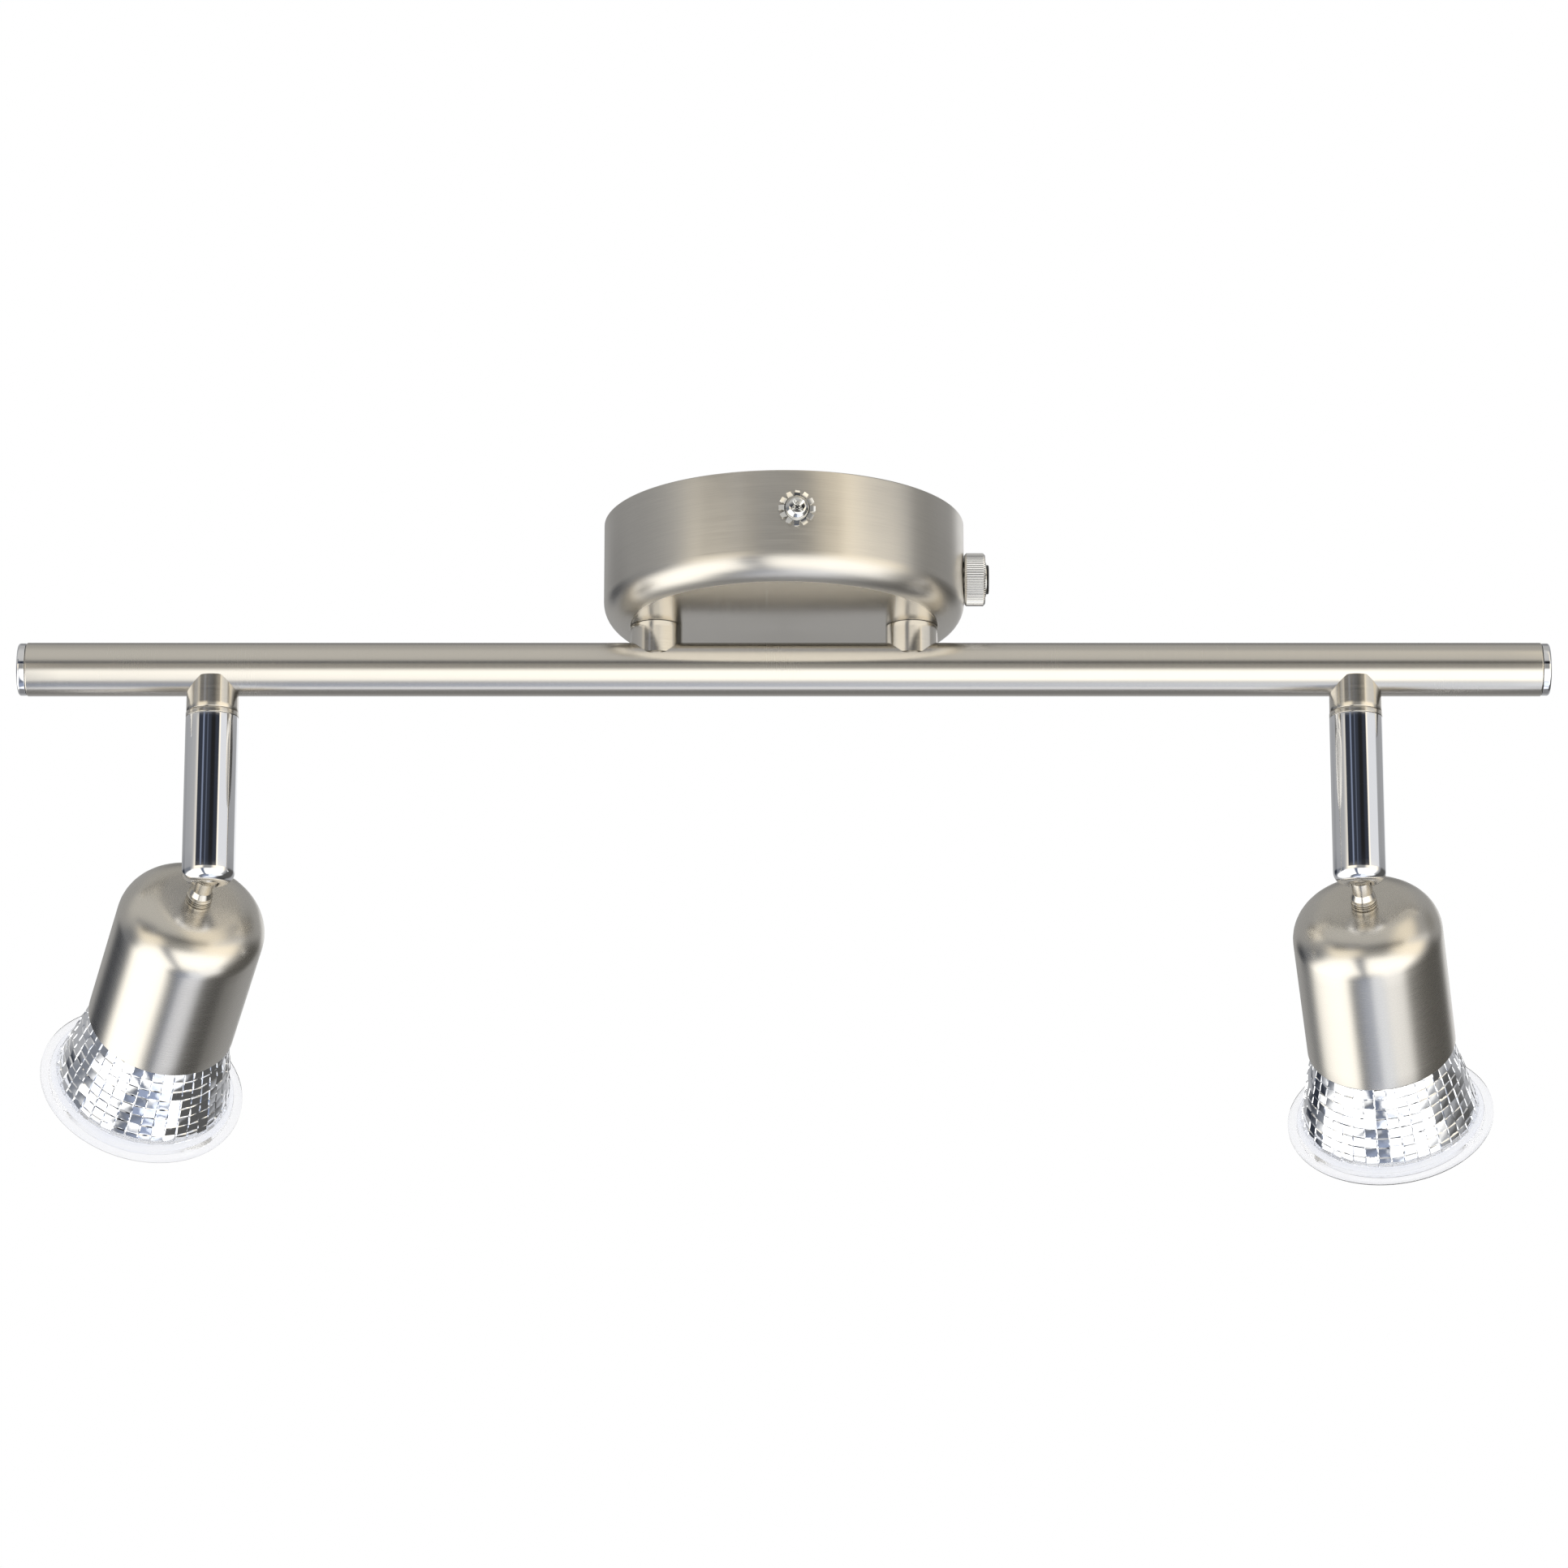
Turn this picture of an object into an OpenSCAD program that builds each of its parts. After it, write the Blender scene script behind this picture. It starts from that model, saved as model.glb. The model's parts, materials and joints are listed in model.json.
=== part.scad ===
// Two-lamp ceiling spotlight bar: a round canopy, a straight bar on two saddle posts,
// and a swivelling, tilting spotlight head under each end of the bar.
// Millimetres. The origin is the centre of the canopy's ceiling face, +X runs along
// the bar, +Y is the side that the heads point to, and +Z points up at the ceiling.

/* [Canopy] */
// Outside diameter of the canopy
canopy_d = 86; // [84:0.5:96]
// Height of the canopy from the ceiling to its flat face
canopy_h = 25.4; // [25:0.2:28]
// Radius of the rounded edge around the flat face
canopy_corner_r = 6; // [3:0.5:8]
// Sheet thickness of the canopy
canopy_wall = 1; // [0.8:0.1:1.2]
// Angle of the ceiling bracket from square to the bar
bracket_turn = 4; // [0:0.5:8]
// Distance between the bracket's two ceiling screw holes
ceiling_screw_pitch = 60; // [56:1:64]
// Depth of the canopy screws below the ceiling
canopy_screw_drop = 9.5; // [8:0.5:11]
// Depth of the side cable entry below the ceiling
entry_drop = 13.4; // [12:0.2:15]

/* [Bar] */
// Outside diameter of the bar
bar_d = 12.76; // [12.4:0.02:13.4]
// Length of the bar without its end caps
bar_length = 360.5; // [340:0.5:500]
// Wall thickness of the bar
bar_wall = 0.8; // [0.6:0.1:1]
// Depth of the bar's axis below the ceiling
bar_drop = 35.8; // [35.2:0.2:37]
// Length of the end caps outside the bar
cap_thickness = 2.1; // [1:0.1:4]

/* [Posts] */
// Diameter of the posts, the saddles and their swivel rings
post_d = 12.4; // [12:0.1:12.7]
// Distance between the two posts
post_pitch = 60.8; // [58:0.2:66]
// Height that each saddle stops short of the bar's axis
saddle_stop = 2.9; // [2:0.1:4]

/* [Arms] */
// Distance between the two lamp arms
arm_pitch = 271.8; // [240:0.2:300]
// Outside diameter of the arms
arm_d = 12.62; // [12.4:0.02:13]
// Depth of the swivel seam, where an arm starts, below the ceiling
arm_top_drop = 47.85; // [47.5:0.05:49]
// Depth of the ball joint's centre below the ceiling
pivot_drop = 84.8; // [84:0.2:95]

/* [Heads] */
// Outside diameter of the head shells
shell_d = 35.7; // [35.7:0.1:40]
// Distance from the ball's centre to the top of the shell
shell_top = 10.8; // [10.5:0.1:11]
// Distance from the ball's centre to the lip of the shell
shell_lip = 53; // [50:0.1:55]
// Radius of the shell's rounded shoulder
shell_corner_r = 9.2; // [6:0.2:9.4]
// Wall thickness of the shell
shell_wall = 0.7; // [0.7:0.1:1]

/* [Lamps] */
// Face diameter of the lamps
lamp_d = 50; // [49.5:0.1:50.7]
// Distance from the ball's centre to the lamp's front face
lamp_front = 76.6; // [76:0.1:80]
// Twist that locks the lamp in its holder
lock_twist = 18; // [12:1:20]

/* [Resting pose] */
// Tilt of the left head from straight down
left_tilt = 59.6; // [0:0.1:90]
// Turn of the left head from +Y, towards -X
left_pan = 18.6; // [-175:0.1:175]
// Tilt of the right head from straight down
right_tilt = 51.3; // [0:0.1:90]
// Turn of the right head from +Y, towards -X
right_pan = -11.2; // [-175:0.1:175]

/* [Hidden] */
$fn = 96;
eps = 0.01;
// Clearance of parts that turn in each other, and gap between parts that only touch
running = 0.05;
gap = 0.03;

LEFT = -1;
RIGHT = 1;
SIDES = [LEFT, RIGHT];

nickel = [0.72, 0.70, 0.66];
chrome = [0.80, 0.82, 0.85];
zinc = [0.66, 0.67, 0.68];
brass = [0.80, 0.66, 0.36];
black = [0.08, 0.08, 0.08];
ivory = [0.88, 0.86, 0.80];
porcelain = [0.93, 0.92, 0.88];
mirror_glass = [0.88, 0.90, 0.94];
clear_glass = [0.85, 0.92, 0.95, 0.4];

// Canopy and ceiling bracket
canopy_r = canopy_d / 2;
canopy_floor = -canopy_h + canopy_wall;
strap_w = 16;
strap_t = 1.5;
tab_reach = canopy_r - canopy_wall - 0.3;
tab_w = 8;
tab_h = 15;
ceiling_hole_r = 2.25;
canopy_screw_r = 1.5;
screw_head_r = 2.75;
star_r = 4.05;
star_t = 0.5;
star_teeth = 12;
earth_screw_at = 36;

// Side cable entry
entry_r = 4.35;
entry_bore_r = 3;
entry_tip = 48.3;
entry_tail = 37.5;
entry_flat = 3.7;
knurl_r = 6.35;
knurl_l = 5;
locknut_af = 12;
locknut_l = 2.2;
bush_bore_r = 2.2;
bush_flange_r = 3.7;
bush_flange_t = 0.6;

// Terminal block, with three ways across X
block = [26, 16, 14];
block_y = 8;
way_pitch = 8;
way_z = canopy_floor + block[2] / 2;
insert_r = 2.9;
insert_bore_r = 1.9;
well_r = 2;
clamp_screw_r = 1.5;

// Bar, posts and saddles
bar_r = bar_d / 2;
bar_bore_r = bar_r - bar_wall;
post_r = post_d / 2;
post_x = post_pitch / 2;
cap_r = bar_r - 0.15;
nipple_r = 4;
nipple_bore_r = 2.9;
nipple_grip = 3.4;
nut_af = 13;
nut_t = 4;
nipple_top = canopy_floor + nut_t + 1.5;
ring_t = 1.3;

// Arms, with the swivel at the top and the ball seat at the bottom
arm_x = arm_pitch / 2;
arm_r = arm_d / 2;
arm_bore_r = 5.5;
arm_bore_start = 2.3;
arm_top_t = 2.5;
arm_foot = 3.75;
arm_corner_r = 3;
swivel_washer_t = 0.6;
swivel_nut_t = 3;
swivel_nut_r = 5.2;
swivel_end = arm_top_drop + arm_top_t + swivel_washer_t + swivel_nut_t + 0.6;
ball_r = 4.2;
seat_r = ball_r + running;
cup_low = 2.75;
cup_high = 8;
cup_bore_r = 2.2;
disc_count = 6;
disc_t = 0.5;
disc_pitch = 0.8;
disc_r = 5.2;
disc_bore_r = 2.6;
shoulder_z = cup_high + disc_count * disc_pitch + 0.1;
shoulder_t = 1.5;
shoulder_bore_r = 3;
slot_half_w = 2.7;

// Ball stud and what it holds in the shell, along the lamp's axis from the ball
neck_r = 2.45;
neck_end = 6.8;
stud_r = 2.95;
stud_start = 8.2;
stud_bore_r = 1.7;
collar_r = 3.1;
collar_start = 8.9;
collar_grooves = [9.2, 9.75];
collar_groove_w = 0.2;
collar_groove_depth = 0.3;
thread_r = 2.4;
thread_end = 15.4;
stud_nut_af = 8;
stud_nut_t = 2.5;
shell_r = shell_d / 2;
crown = shell_top + shell_wall;
bracket_t = 0.8;
bracket_w = 8;
bracket_leg = 8.2;
bracket_foot = 12.6;
holder_screw_y = 11;
holder_screw_r = 1.25;
holder_start = 17.9;
holder_end = 28.4;
holder_r = 12.8;

// Lamp, along its axis from the ball
base_start = 28.5;
base_end = 36;
base_r = 9.5;
bowl_back_r = 11.75;
bowl_front_r = 21.8;
bowl_wall = 1.2;
bowl_steps = 12;
flange_t = 3;
flange_start = lamp_front - flange_t;
lens_t = 1.6;
lens_r = 22.6;
pin_pitch = 10;
pin_r = 1.5;
pin_head_r = 2.45;
pin_head_t = 1.8;
pin_tip = 21.4;
board_r = 10.2;
board_t = 1.2;

// Leads: pairs run side by side, live on +Y and neutral on -Y
wire_sides = 10;
lead_r = 0.9;
lead_y = 1.1;
shared_way_x = 0.95;
live_level = -12.5;
neutral_level = -15.5;
thin_lead_r = 0.75;
thin_lead_x = 0.85;

// ---- Shared shapes ----

// Cylinder between two heights on the Z axis
module span(from, to, r) {
    translate([0, 0, min(from, to)]) cylinder(r = r, h = abs(to - from));
}

// Ring or tube between two heights on the Z axis
module ring(from, to, outer_r, inner_r) {
    difference() {
        span(from, to, outer_r);
        span(min(from, to) - 1, max(from, to) + 1, inner_r);
    }
}

// Closed round can with a rounded edge at its low end
module round_can(r, from, to, corner_r) {
    rotate_extrude() {
        translate([0, from]) square([r - corner_r, to - from]);
        translate([0, from + corner_r]) square([r, to - from - corner_r]);
        translate([r - corner_r, from + corner_r]) intersection() {
            circle(corner_r);
            translate([0, -corner_r]) square(corner_r);
        }
    }
}

// Hexagonal nut between two heights, given its width across flats
module hex_nut(from, to, across_flats, bore_r) {
    difference() {
        translate([0, 0, from]) cylinder(r = across_flats / sqrt(3), h = to - from, $fn = 6);
        span(from - 1, to + 1, bore_r);
    }
}

// Domed screw head with a cross recess, seated at z = 0 and facing +Z
module cross_head(r, h) {
    dome_r = (r * r + h * h) / (2 * h);
    recess_w = r * 0.3;
    difference() {
        intersection() {
            cylinder(r = r, h = h + 1);
            translate([0, 0, h - dome_r]) sphere(dome_r);
        }
        for (turn = [0, 90]) rotate(turn)
            translate([-r * 0.55, -recess_w / 2, h * 0.45]) cube([r * 1.1, recess_w, h]);
    }
}

// Direction of a vector
function unit(v) = v / norm(v);

// Ring of points round the start of a wire, square to its first stretch
function first_ring(points, r) =
    let (along = unit(points[1] - points[0]))
    let (aside = unit(cross(along, abs(along[2]) > 0.9 ? [1, 0, 0] : [0, 0, 1])))
    let (across = cross(along, aside))
    [for (k = [0 : wire_sides - 1])
        points[0] + r * (aside * cos(k * 360 / wire_sides) + across * sin(k * 360 / wire_sides))];

// The ring carried along to the mitre plane at point i
function next_ring(points, i, ring) =
    let (along = unit(points[i] - points[i - 1]))
    let (onward = i + 1 < len(points) ? unit(points[i + 1] - points[i]) : along)
    let (normal = unit(along + onward))
    [for (q = ring) q + along * ((points[i] - q) * normal) / (along * normal)];

// Every ring of a wire from point i on, joined into one list
function rings_from(points, i, ring) =
    i == len(points) ? ring : concat(ring, rings_from(points, i + 1, next_ring(points, i, ring)));

// Round wire through a list of points, mitred where it turns
module wire(points, r) {
    n = wire_sides;
    last = (len(points) - 1) * n;
    polyhedron(
        points = rings_from(points, 1, first_ring(points, r)),
        faces = concat(
            [[for (k = [n - 1 : -1 : 0]) k], [for (k = [0 : n - 1]) last + k]],
            [for (i = [0 : len(points) - 2], k = [0 : n - 1])
                [i * n + k, i * n + (k + 1) % n, (i + 1) * n + (k + 1) % n, (i + 1) * n + k]]
        ),
        convexity = 6
    );
}

// ---- Frames that the sub-parts are placed in ----

// +Z becomes the outward direction of one canopy screw, at its hole in the canopy wall
module at_canopy_screw(end) {
    rotate(bracket_turn) translate([0, end * canopy_r, -canopy_screw_drop])
        rotate([-end * 90, 0, 0]) children();
}

// +Z becomes +X along the side cable entry, measured from the canopy's axis
module along_entry() {
    translate([0, 0, -entry_drop]) rotate([0, 90, 0]) children();
}

// +Z becomes +X along the bar
module along_bar() {
    translate([0, 0, -bar_drop]) rotate([0, 90, 0]) children();
}

function pan(side) = side == LEFT ? left_pan : right_pan;
function tilt(side) = side == LEFT ? left_tilt : right_tilt;

// An arm's own frame: ball centre at the origin, +Y the side that its head tilts to
module in_arm(side) {
    translate([side * arm_x, 0, -pivot_drop]) rotate(pan(side)) children();
}

// A head's own frame: ball centre at the origin, +Z out along the lamp's axis
module in_head(side) {
    in_arm(side) rotate([180 + tilt(side), 0, 0]) children();
}

// ---- Canopy and bracket ----

module canopy() {
    color(nickel) difference() {
        translate([0, 0, -canopy_h]) round_can(canopy_r, 0, canopy_h, canopy_corner_r);
        translate([0, 0, -canopy_h]) round_can(
            canopy_r - canopy_wall, canopy_wall, canopy_h + 1, canopy_corner_r - canopy_wall);
        for (side = SIDES) translate([side * post_x, 0, 0])
            span(-canopy_h - 1, canopy_floor + 1, nipple_r + gap);
        for (end = [-1, 1]) at_canopy_screw(end) span(-3, 1, canopy_screw_r + 0.2);
        along_entry() span(canopy_r - 4, canopy_r + 1, entry_r + gap);
    }
}

module ceiling_bracket() {
    color(zinc) difference() {
        rotate(bracket_turn) union() {
            translate([-strap_w / 2, -tab_reach, -strap_t]) cube([strap_w, 2 * tab_reach, strap_t]);
            for (end = [-1, 1]) {
                tab_y = end > 0 ? tab_reach - strap_t : -tab_reach;
                translate([-tab_w / 2, tab_y, -tab_h]) cube([tab_w, strap_t, tab_h - eps]);
            }
        }
        // The strap's corners follow the round wall of the canopy
        difference() {
            span(-tab_h - 1, 1, 2 * canopy_r);
            span(-tab_h - 2, 2, canopy_r - canopy_wall - 0.1);
        }
        for (end = [-1, 1]) {
            rotate(bracket_turn) translate([0, end * ceiling_screw_pitch / 2, 0])
                span(-strap_t - 1, 1, ceiling_hole_r);
            at_canopy_screw(end) span(-5, 1, canopy_screw_r + gap);
        }
        rotate(bracket_turn) translate([0, earth_screw_at, 0])
            span(-strap_t - 1, 1, canopy_screw_r + gap);
    }
}

module canopy_screws() {
    seat = star_t + 2 * gap;
    color(zinc) for (end = [-1, 1]) at_canopy_screw(end) {
        translate([0, 0, seat]) cross_head(screw_head_r, 2);
        span(-5, seat + eps, canopy_screw_r);
    }
}

module star_washers() {
    tooth_w = 0.9;
    color(zinc) for (end = [-1, 1]) at_canopy_screw(end) translate([0, 0, gap]) difference() {
        union() {
            cylinder(r = star_r - 1, h = star_t);
            for (i = [0 : star_teeth - 1]) rotate(i * 360 / star_teeth)
                translate([2, -tooth_w / 2, 0]) cube([star_r - 2, tooth_w, star_t]);
        }
        span(-1, 1, canopy_screw_r + 0.15);
    }
}

module earth_screw() {
    color(brass) rotate(bracket_turn) translate([0, earth_screw_at, -strap_t]) {
        rotate([180, 0, 0]) cross_head(screw_head_r, 2);
        span(-eps, strap_t - 0.2, canopy_screw_r);
    }
}

// ---- Terminal block ----

// Places its children at each of the three ways, with +Y along the way
module each_way() {
    for (way = [-1, 0, 1]) translate([way * way_pitch, 0, way_z]) children();
}

// Places its children on the two clamp screws of each way
module each_clamp() {
    each_way() for (part = [0.25, 0.75]) translate([0, block_y + part * block[1], 0]) children();
}

module terminal_block() {
    color(ivory) difference() {
        translate([-block[0] / 2, block_y, canopy_floor + gap]) cube(block);
        each_way() translate([0, block_y - 1, 0]) rotate([-90, 0, 0])
            cylinder(r = insert_r + gap, h = block[1] + 2);
        each_clamp() cylinder(r = well_r, h = block[2]);
    }
}

module terminal_inserts() {
    color(brass) difference() {
        each_way() translate([0, block_y + 1, 0]) rotate([-90, 0, 0])
            cylinder(r = insert_r, h = block[1] - 2);
        each_way() translate([0, block_y - 1, 0]) rotate([-90, 0, 0])
            cylinder(r = insert_bore_r, h = block[1] + 2);
        each_clamp() cylinder(r = clamp_screw_r + gap, h = block[2]);
    }
}

module terminal_screws() {
    tip = insert_bore_r - 0.6;
    head_z = 5.2;
    color(zinc) each_clamp() difference() {
        span(tip, head_z, clamp_screw_r);
        translate([-clamp_screw_r, -0.25, head_z - 0.8]) cube([2 * clamp_screw_r, 0.5, 1]);
    }
}

// ---- Side cable entry ----

module knurled_nut() {
    start = canopy_r + 0.05;
    chamfer = 0.5;
    color(nickel) along_entry() translate([0, 0, start]) difference() {
        union() {
            cylinder(r1 = knurl_r - chamfer, r2 = knurl_r, h = chamfer);
            span(chamfer, knurl_l - chamfer, knurl_r);
            translate([0, 0, knurl_l - chamfer]) cylinder(r1 = knurl_r, r2 = knurl_r - chamfer, h = chamfer);
        }
        span(-1, knurl_l + 1, entry_r + gap);
    }
}

module entry_nipple() {
    color(nickel) along_entry() difference() {
        ring(entry_tail, entry_tip, entry_r, entry_bore_r);
        // Flat along the top of the thread
        translate([-2 * entry_r, -entry_r, canopy_r + 1]) cube([2 * entry_r - entry_flat, 2 * entry_r, 8]);
    }
}

module entry_locknut() {
    seat = sqrt(pow(canopy_r - canopy_wall, 2) - pow(locknut_af / sqrt(3), 2)) - 0.1;
    color(zinc) along_entry() hex_nut(seat - locknut_l, seat, locknut_af, entry_r + gap);
}

module entry_bush() {
    color(black) along_entry() difference() {
        union() {
            span(entry_tail + 1, entry_tip + gap + eps, entry_bore_r - gap);
            span(entry_tip + gap, entry_tip + gap + bush_flange_t, bush_flange_r - 0.2);
        }
        span(entry_tail - 1, entry_tip + 2, bush_bore_r);
    }
}

// ---- Posts and bar ----

// Round column that straddles the bar and stops short of its axis
module saddle_column(from, to) {
    reach = 2 * post_d;
    difference() {
        ring(from, to, post_r, nipple_r + gap);
        translate([-reach / 2, 0, 0]) along_bar() cylinder(r = bar_r + gap, h = reach);
    }
}

module post(side) {
    color(nickel) translate([side * post_x, 0, 0])
        saddle_column(-bar_drop + saddle_stop, -canopy_h);
}

module post_nipples() {
    color(zinc) for (side = SIDES) translate([side * post_x, 0, 0])
        ring(-bar_drop + nipple_grip, nipple_top, nipple_r, nipple_bore_r);
}

module post_nuts() {
    color(zinc) for (side = SIDES) translate([side * post_x, 0, 0])
        hex_nut(canopy_floor + gap, canopy_floor + nut_t, nut_af, nipple_r + gap);
}

module bar_tube() {
    color(nickel) difference() {
        along_bar() translate([0, 0, -bar_length / 2]) difference() {
            cylinder(r = bar_r, h = bar_length);
            translate([0, 0, -1]) cylinder(r = bar_bore_r, h = bar_length + 2);
        }
        for (side = SIDES) {
            translate([side * post_x, 0, 0]) span(-bar_drop, -canopy_h, nipple_r + gap);
            translate([side * arm_x, 0, 0]) span(-bar_drop, -arm_top_drop, nipple_r + gap);
        }
    }
}

module end_cap(side) {
    plug_l = 6;
    edge_r = 0.7;
    color(chrome) along_bar() mirror([0, 0, side == LEFT ? 1 : 0]) translate([0, 0, bar_length / 2]) {
        translate([0, 0, cap_thickness]) mirror([0, 0, 1])
            round_can(cap_r, 0, cap_thickness - gap, edge_r);
        ring(-plug_l, gap + eps, bar_bore_r - gap, bar_bore_r - 1);
    }
}

// ---- Swivels ----

module saddle(side) {
    color(nickel) translate([side * arm_x, 0, 0])
        saddle_column(-arm_top_drop + ring_t, -bar_drop - saddle_stop);
}

module swivel_rings() {
    groove = 0.15;
    color(nickel) for (side = SIDES) translate([side * arm_x, 0, -arm_top_drop]) {
        ring(gap, ring_t - groove, arm_r, nipple_r + gap);
        ring(ring_t - groove - eps, ring_t, post_r - 0.3, nipple_r + gap);
    }
}

module swivel_nipples() {
    color(zinc) for (side = SIDES) translate([side * arm_x, 0, 0])
        ring(-swivel_end, -bar_drop - nipple_grip, nipple_r, nipple_bore_r);
}

module swivel_washers() {
    top = -arm_top_drop - arm_top_t - gap;
    color(brass) for (side = SIDES) translate([side * arm_x, 0, 0])
        ring(top - swivel_washer_t + 2 * gap, top, swivel_nut_r, nipple_r + gap);
}

module swivel_nuts() {
    top = -arm_top_drop - arm_top_t - swivel_washer_t;
    slot_w = 1.2;
    slot_l = 2 * swivel_nut_r + 2;
    color(zinc) for (side = SIDES) translate([side * arm_x, 0, 0]) difference() {
        ring(top - swivel_nut_t, top, swivel_nut_r, nipple_r + gap);
        translate([-slot_l / 2, -slot_w / 2, top - swivel_nut_t - 1]) cube([slot_l, slot_w, 2]);
    }
}

// ---- Leads ----

// One lead from the terminal block to the arm, given its way, level and offset from the plane
module lamp_lead(side, way, level, offset) {
    start_x = way * way_pitch + side * shared_way_x;
    wire([
        [start_x, block_y + 3, way_z],
        [start_x, block_y - 2, way_z],
        [start_x, block_y - 4.5 + offset, level],
        [side * post_x, offset, level],
        [side * post_x, offset, -bar_drop],
        [side * arm_x, offset, -bar_drop],
        [side * arm_x, offset, -swivel_end + 0.5]
    ], lead_r);
}

module live_leads() {
    color("saddlebrown") for (side = SIDES) lamp_lead(side, -1, live_level, lead_y);
}

module neutral_leads() {
    color("royalblue") for (side = SIDES) lamp_lead(side, 1, neutral_level, -lead_y);
}

module earth_lead() {
    clear_x = 1.5;
    bend_z = -12;
    end_z = -5;
    color("yellowgreen") wire([
        [0, block_y + block[1] - 3, way_z],
        [0, block_y + block[1] + 3, way_z],
        [clear_x, earth_screw_at - 3, bend_z],
        [clear_x, earth_screw_at, end_z]
    ], lead_r);
}

module arm_leads(side) {
    colours = ["saddlebrown", "royalblue"];
    for (i = [0, 1]) color(colours[i]) in_arm(side) translate([(i * 2 - 1) * lead_y, 0, 0])
        span(cup_low + 4, pivot_drop - swivel_end - 0.5, lead_r);
}

module head_leads(side) {
    hole_x = pin_pitch / 2;
    colours = ["saddlebrown", "royalblue"];
    for (i = [0, 1]) color(colours[i]) in_head(side) {
        turn = i * 2 - 1;
        wire([
            [turn * thin_lead_x, 0, 2],
            [turn * thin_lead_x, 0, thread_end + 1],
            [turn * hole_x, 0, thread_end + 1.6],
            [turn * hole_x, 0, holder_start + 2.5]
        ], thin_lead_r);
    }
}

// ---- Arms ----

module arm_tube(side) {
    top_z = pivot_drop - arm_top_drop;
    color(chrome) in_arm(side) difference() {
        round_can(arm_r, -arm_foot, top_z, arm_corner_r);
        span(arm_bore_start, top_z - arm_top_t, arm_bore_r);
        span(0, arm_bore_start + 1, seat_r);
        span(0, top_z + 1, nipple_r + running);
        sphere(seat_r);
        // The slot that the stud tilts in, from straight down to level
        translate([-slot_half_w, 0, -arm_r - 1]) cube([2 * slot_half_w, arm_r + 1, arm_r + 1]);
        span(-arm_r - 1, 0, slot_half_w);
        rotate([-90, 0, 0]) span(0, arm_r + 1, slot_half_w);
    }
    // Shoulder inside the tube that the disc springs push against
    color(chrome) in_arm(side)
        ring(shoulder_z, shoulder_z + shoulder_t, arm_bore_r + eps, shoulder_bore_r);
}

module pressure_cup(side) {
    color(brass) in_arm(side) difference() {
        ring(cup_low, cup_high, arm_bore_r - 0.1, cup_bore_r);
        sphere(seat_r);
    }
}

module disc_springs(side) {
    lean = disc_pitch - disc_t;
    color(zinc) in_arm(side) for (i = [0 : disc_count - 1]) {
        flip = i % 2;
        translate([0, 0, cup_high + gap + i * disc_pitch]) rotate_extrude() polygon([
            [disc_bore_r, lean * flip],
            [disc_r, lean * (1 - flip)],
            [disc_r, lean * (1 - flip) + disc_t - gap],
            [disc_bore_r, lean * flip + disc_t - gap]
        ]);
    }
}

// ---- Heads ----

module ball_stud(side) {
    color(nickel) in_head(side) difference() {
        union() {
            sphere(ball_r);
            span(0, neck_end + eps, neck_r);
            translate([0, 0, neck_end]) cylinder(r1 = neck_r, r2 = stud_r, h = stud_start - neck_end);
            span(stud_start - eps, collar_start + eps, stud_r);
            span(collar_start, shell_top - gap, collar_r);
            span(shell_top - 1, thread_end, thread_r);
        }
        for (z = collar_grooves)
            ring(z, z + collar_groove_w, collar_r + 1, collar_r - collar_groove_depth);
        span(-ball_r - 1, thread_end + 1, stud_bore_r);
        translate([0, 0, -ball_r - eps]) cylinder(r1 = stud_bore_r + 0.8, r2 = stud_bore_r, h = 2);
    }
}

module head_shell(side) {
    color(nickel) in_head(side) difference() {
        round_can(shell_r, shell_top, shell_lip, shell_corner_r);
        round_can(shell_r - shell_wall, crown, shell_lip + 1, shell_corner_r - shell_wall);
        span(shell_top - 1, crown + 1, thread_r + gap);
    }
}

module stud_nut(side) {
    start = crown + bracket_t + gap;
    color(zinc) in_head(side) hex_nut(start, start + stud_nut_t, stud_nut_af, thread_r + gap);
}

module holder_bracket(side) {
    color(zinc) in_head(side) difference() {
        union() {
            translate([-bracket_w / 2, -bracket_leg, crown + gap])
                cube([bracket_w, 2 * bracket_leg, bracket_t - gap]);
            for (end = [-1, 1]) {
                leg_y = end > 0 ? bracket_leg - bracket_t : -bracket_leg;
                foot_y = end > 0 ? bracket_leg - bracket_t : -bracket_foot;
                foot_l = bracket_foot - bracket_leg + bracket_t;
                translate([-bracket_w / 2, leg_y, crown + gap])
                    cube([bracket_w, bracket_t, holder_start - crown - 2 * gap]);
                translate([-bracket_w / 2, foot_y, holder_start - bracket_t - gap])
                    cube([bracket_w, foot_l, bracket_t]);
            }
        }
        span(crown - 1, crown + 2, thread_r + gap);
        for (end = [-1, 1]) translate([0, end * holder_screw_y, 0])
            span(holder_start - 2, holder_start + 1, holder_screw_r + gap);
    }
}

module holder_screws(side) {
    seat = holder_start - bracket_t - 2 * gap;
    color(zinc) in_head(side) for (end = [-1, 1]) translate([0, end * holder_screw_y, seat]) {
        mirror([0, 0, 1]) cross_head(1.5, 1);
        span(-eps, 5, holder_screw_r);
    }
}

// Short slot for one lamp pin, from its way in to its locked place. Its walls lie a little
// inside the round ends.
module bayonet_slot(half_w, from, to) {
    path_r = pin_pitch / 2;
    half_turn = lock_twist / 2;
    wall_w = 2 * half_w - 0.1;
    chord = 2 * path_r * sin(half_turn);
    for (turn = [0, -lock_twist]) rotate(turn) translate([path_r, 0, 0]) span(from, to, half_w);
    rotate(-half_turn) translate([path_r * cos(half_turn) - wall_w / 2, -chord / 2, from + eps])
        cube([wall_w, chord, to - from - 2 * eps]);
}

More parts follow.
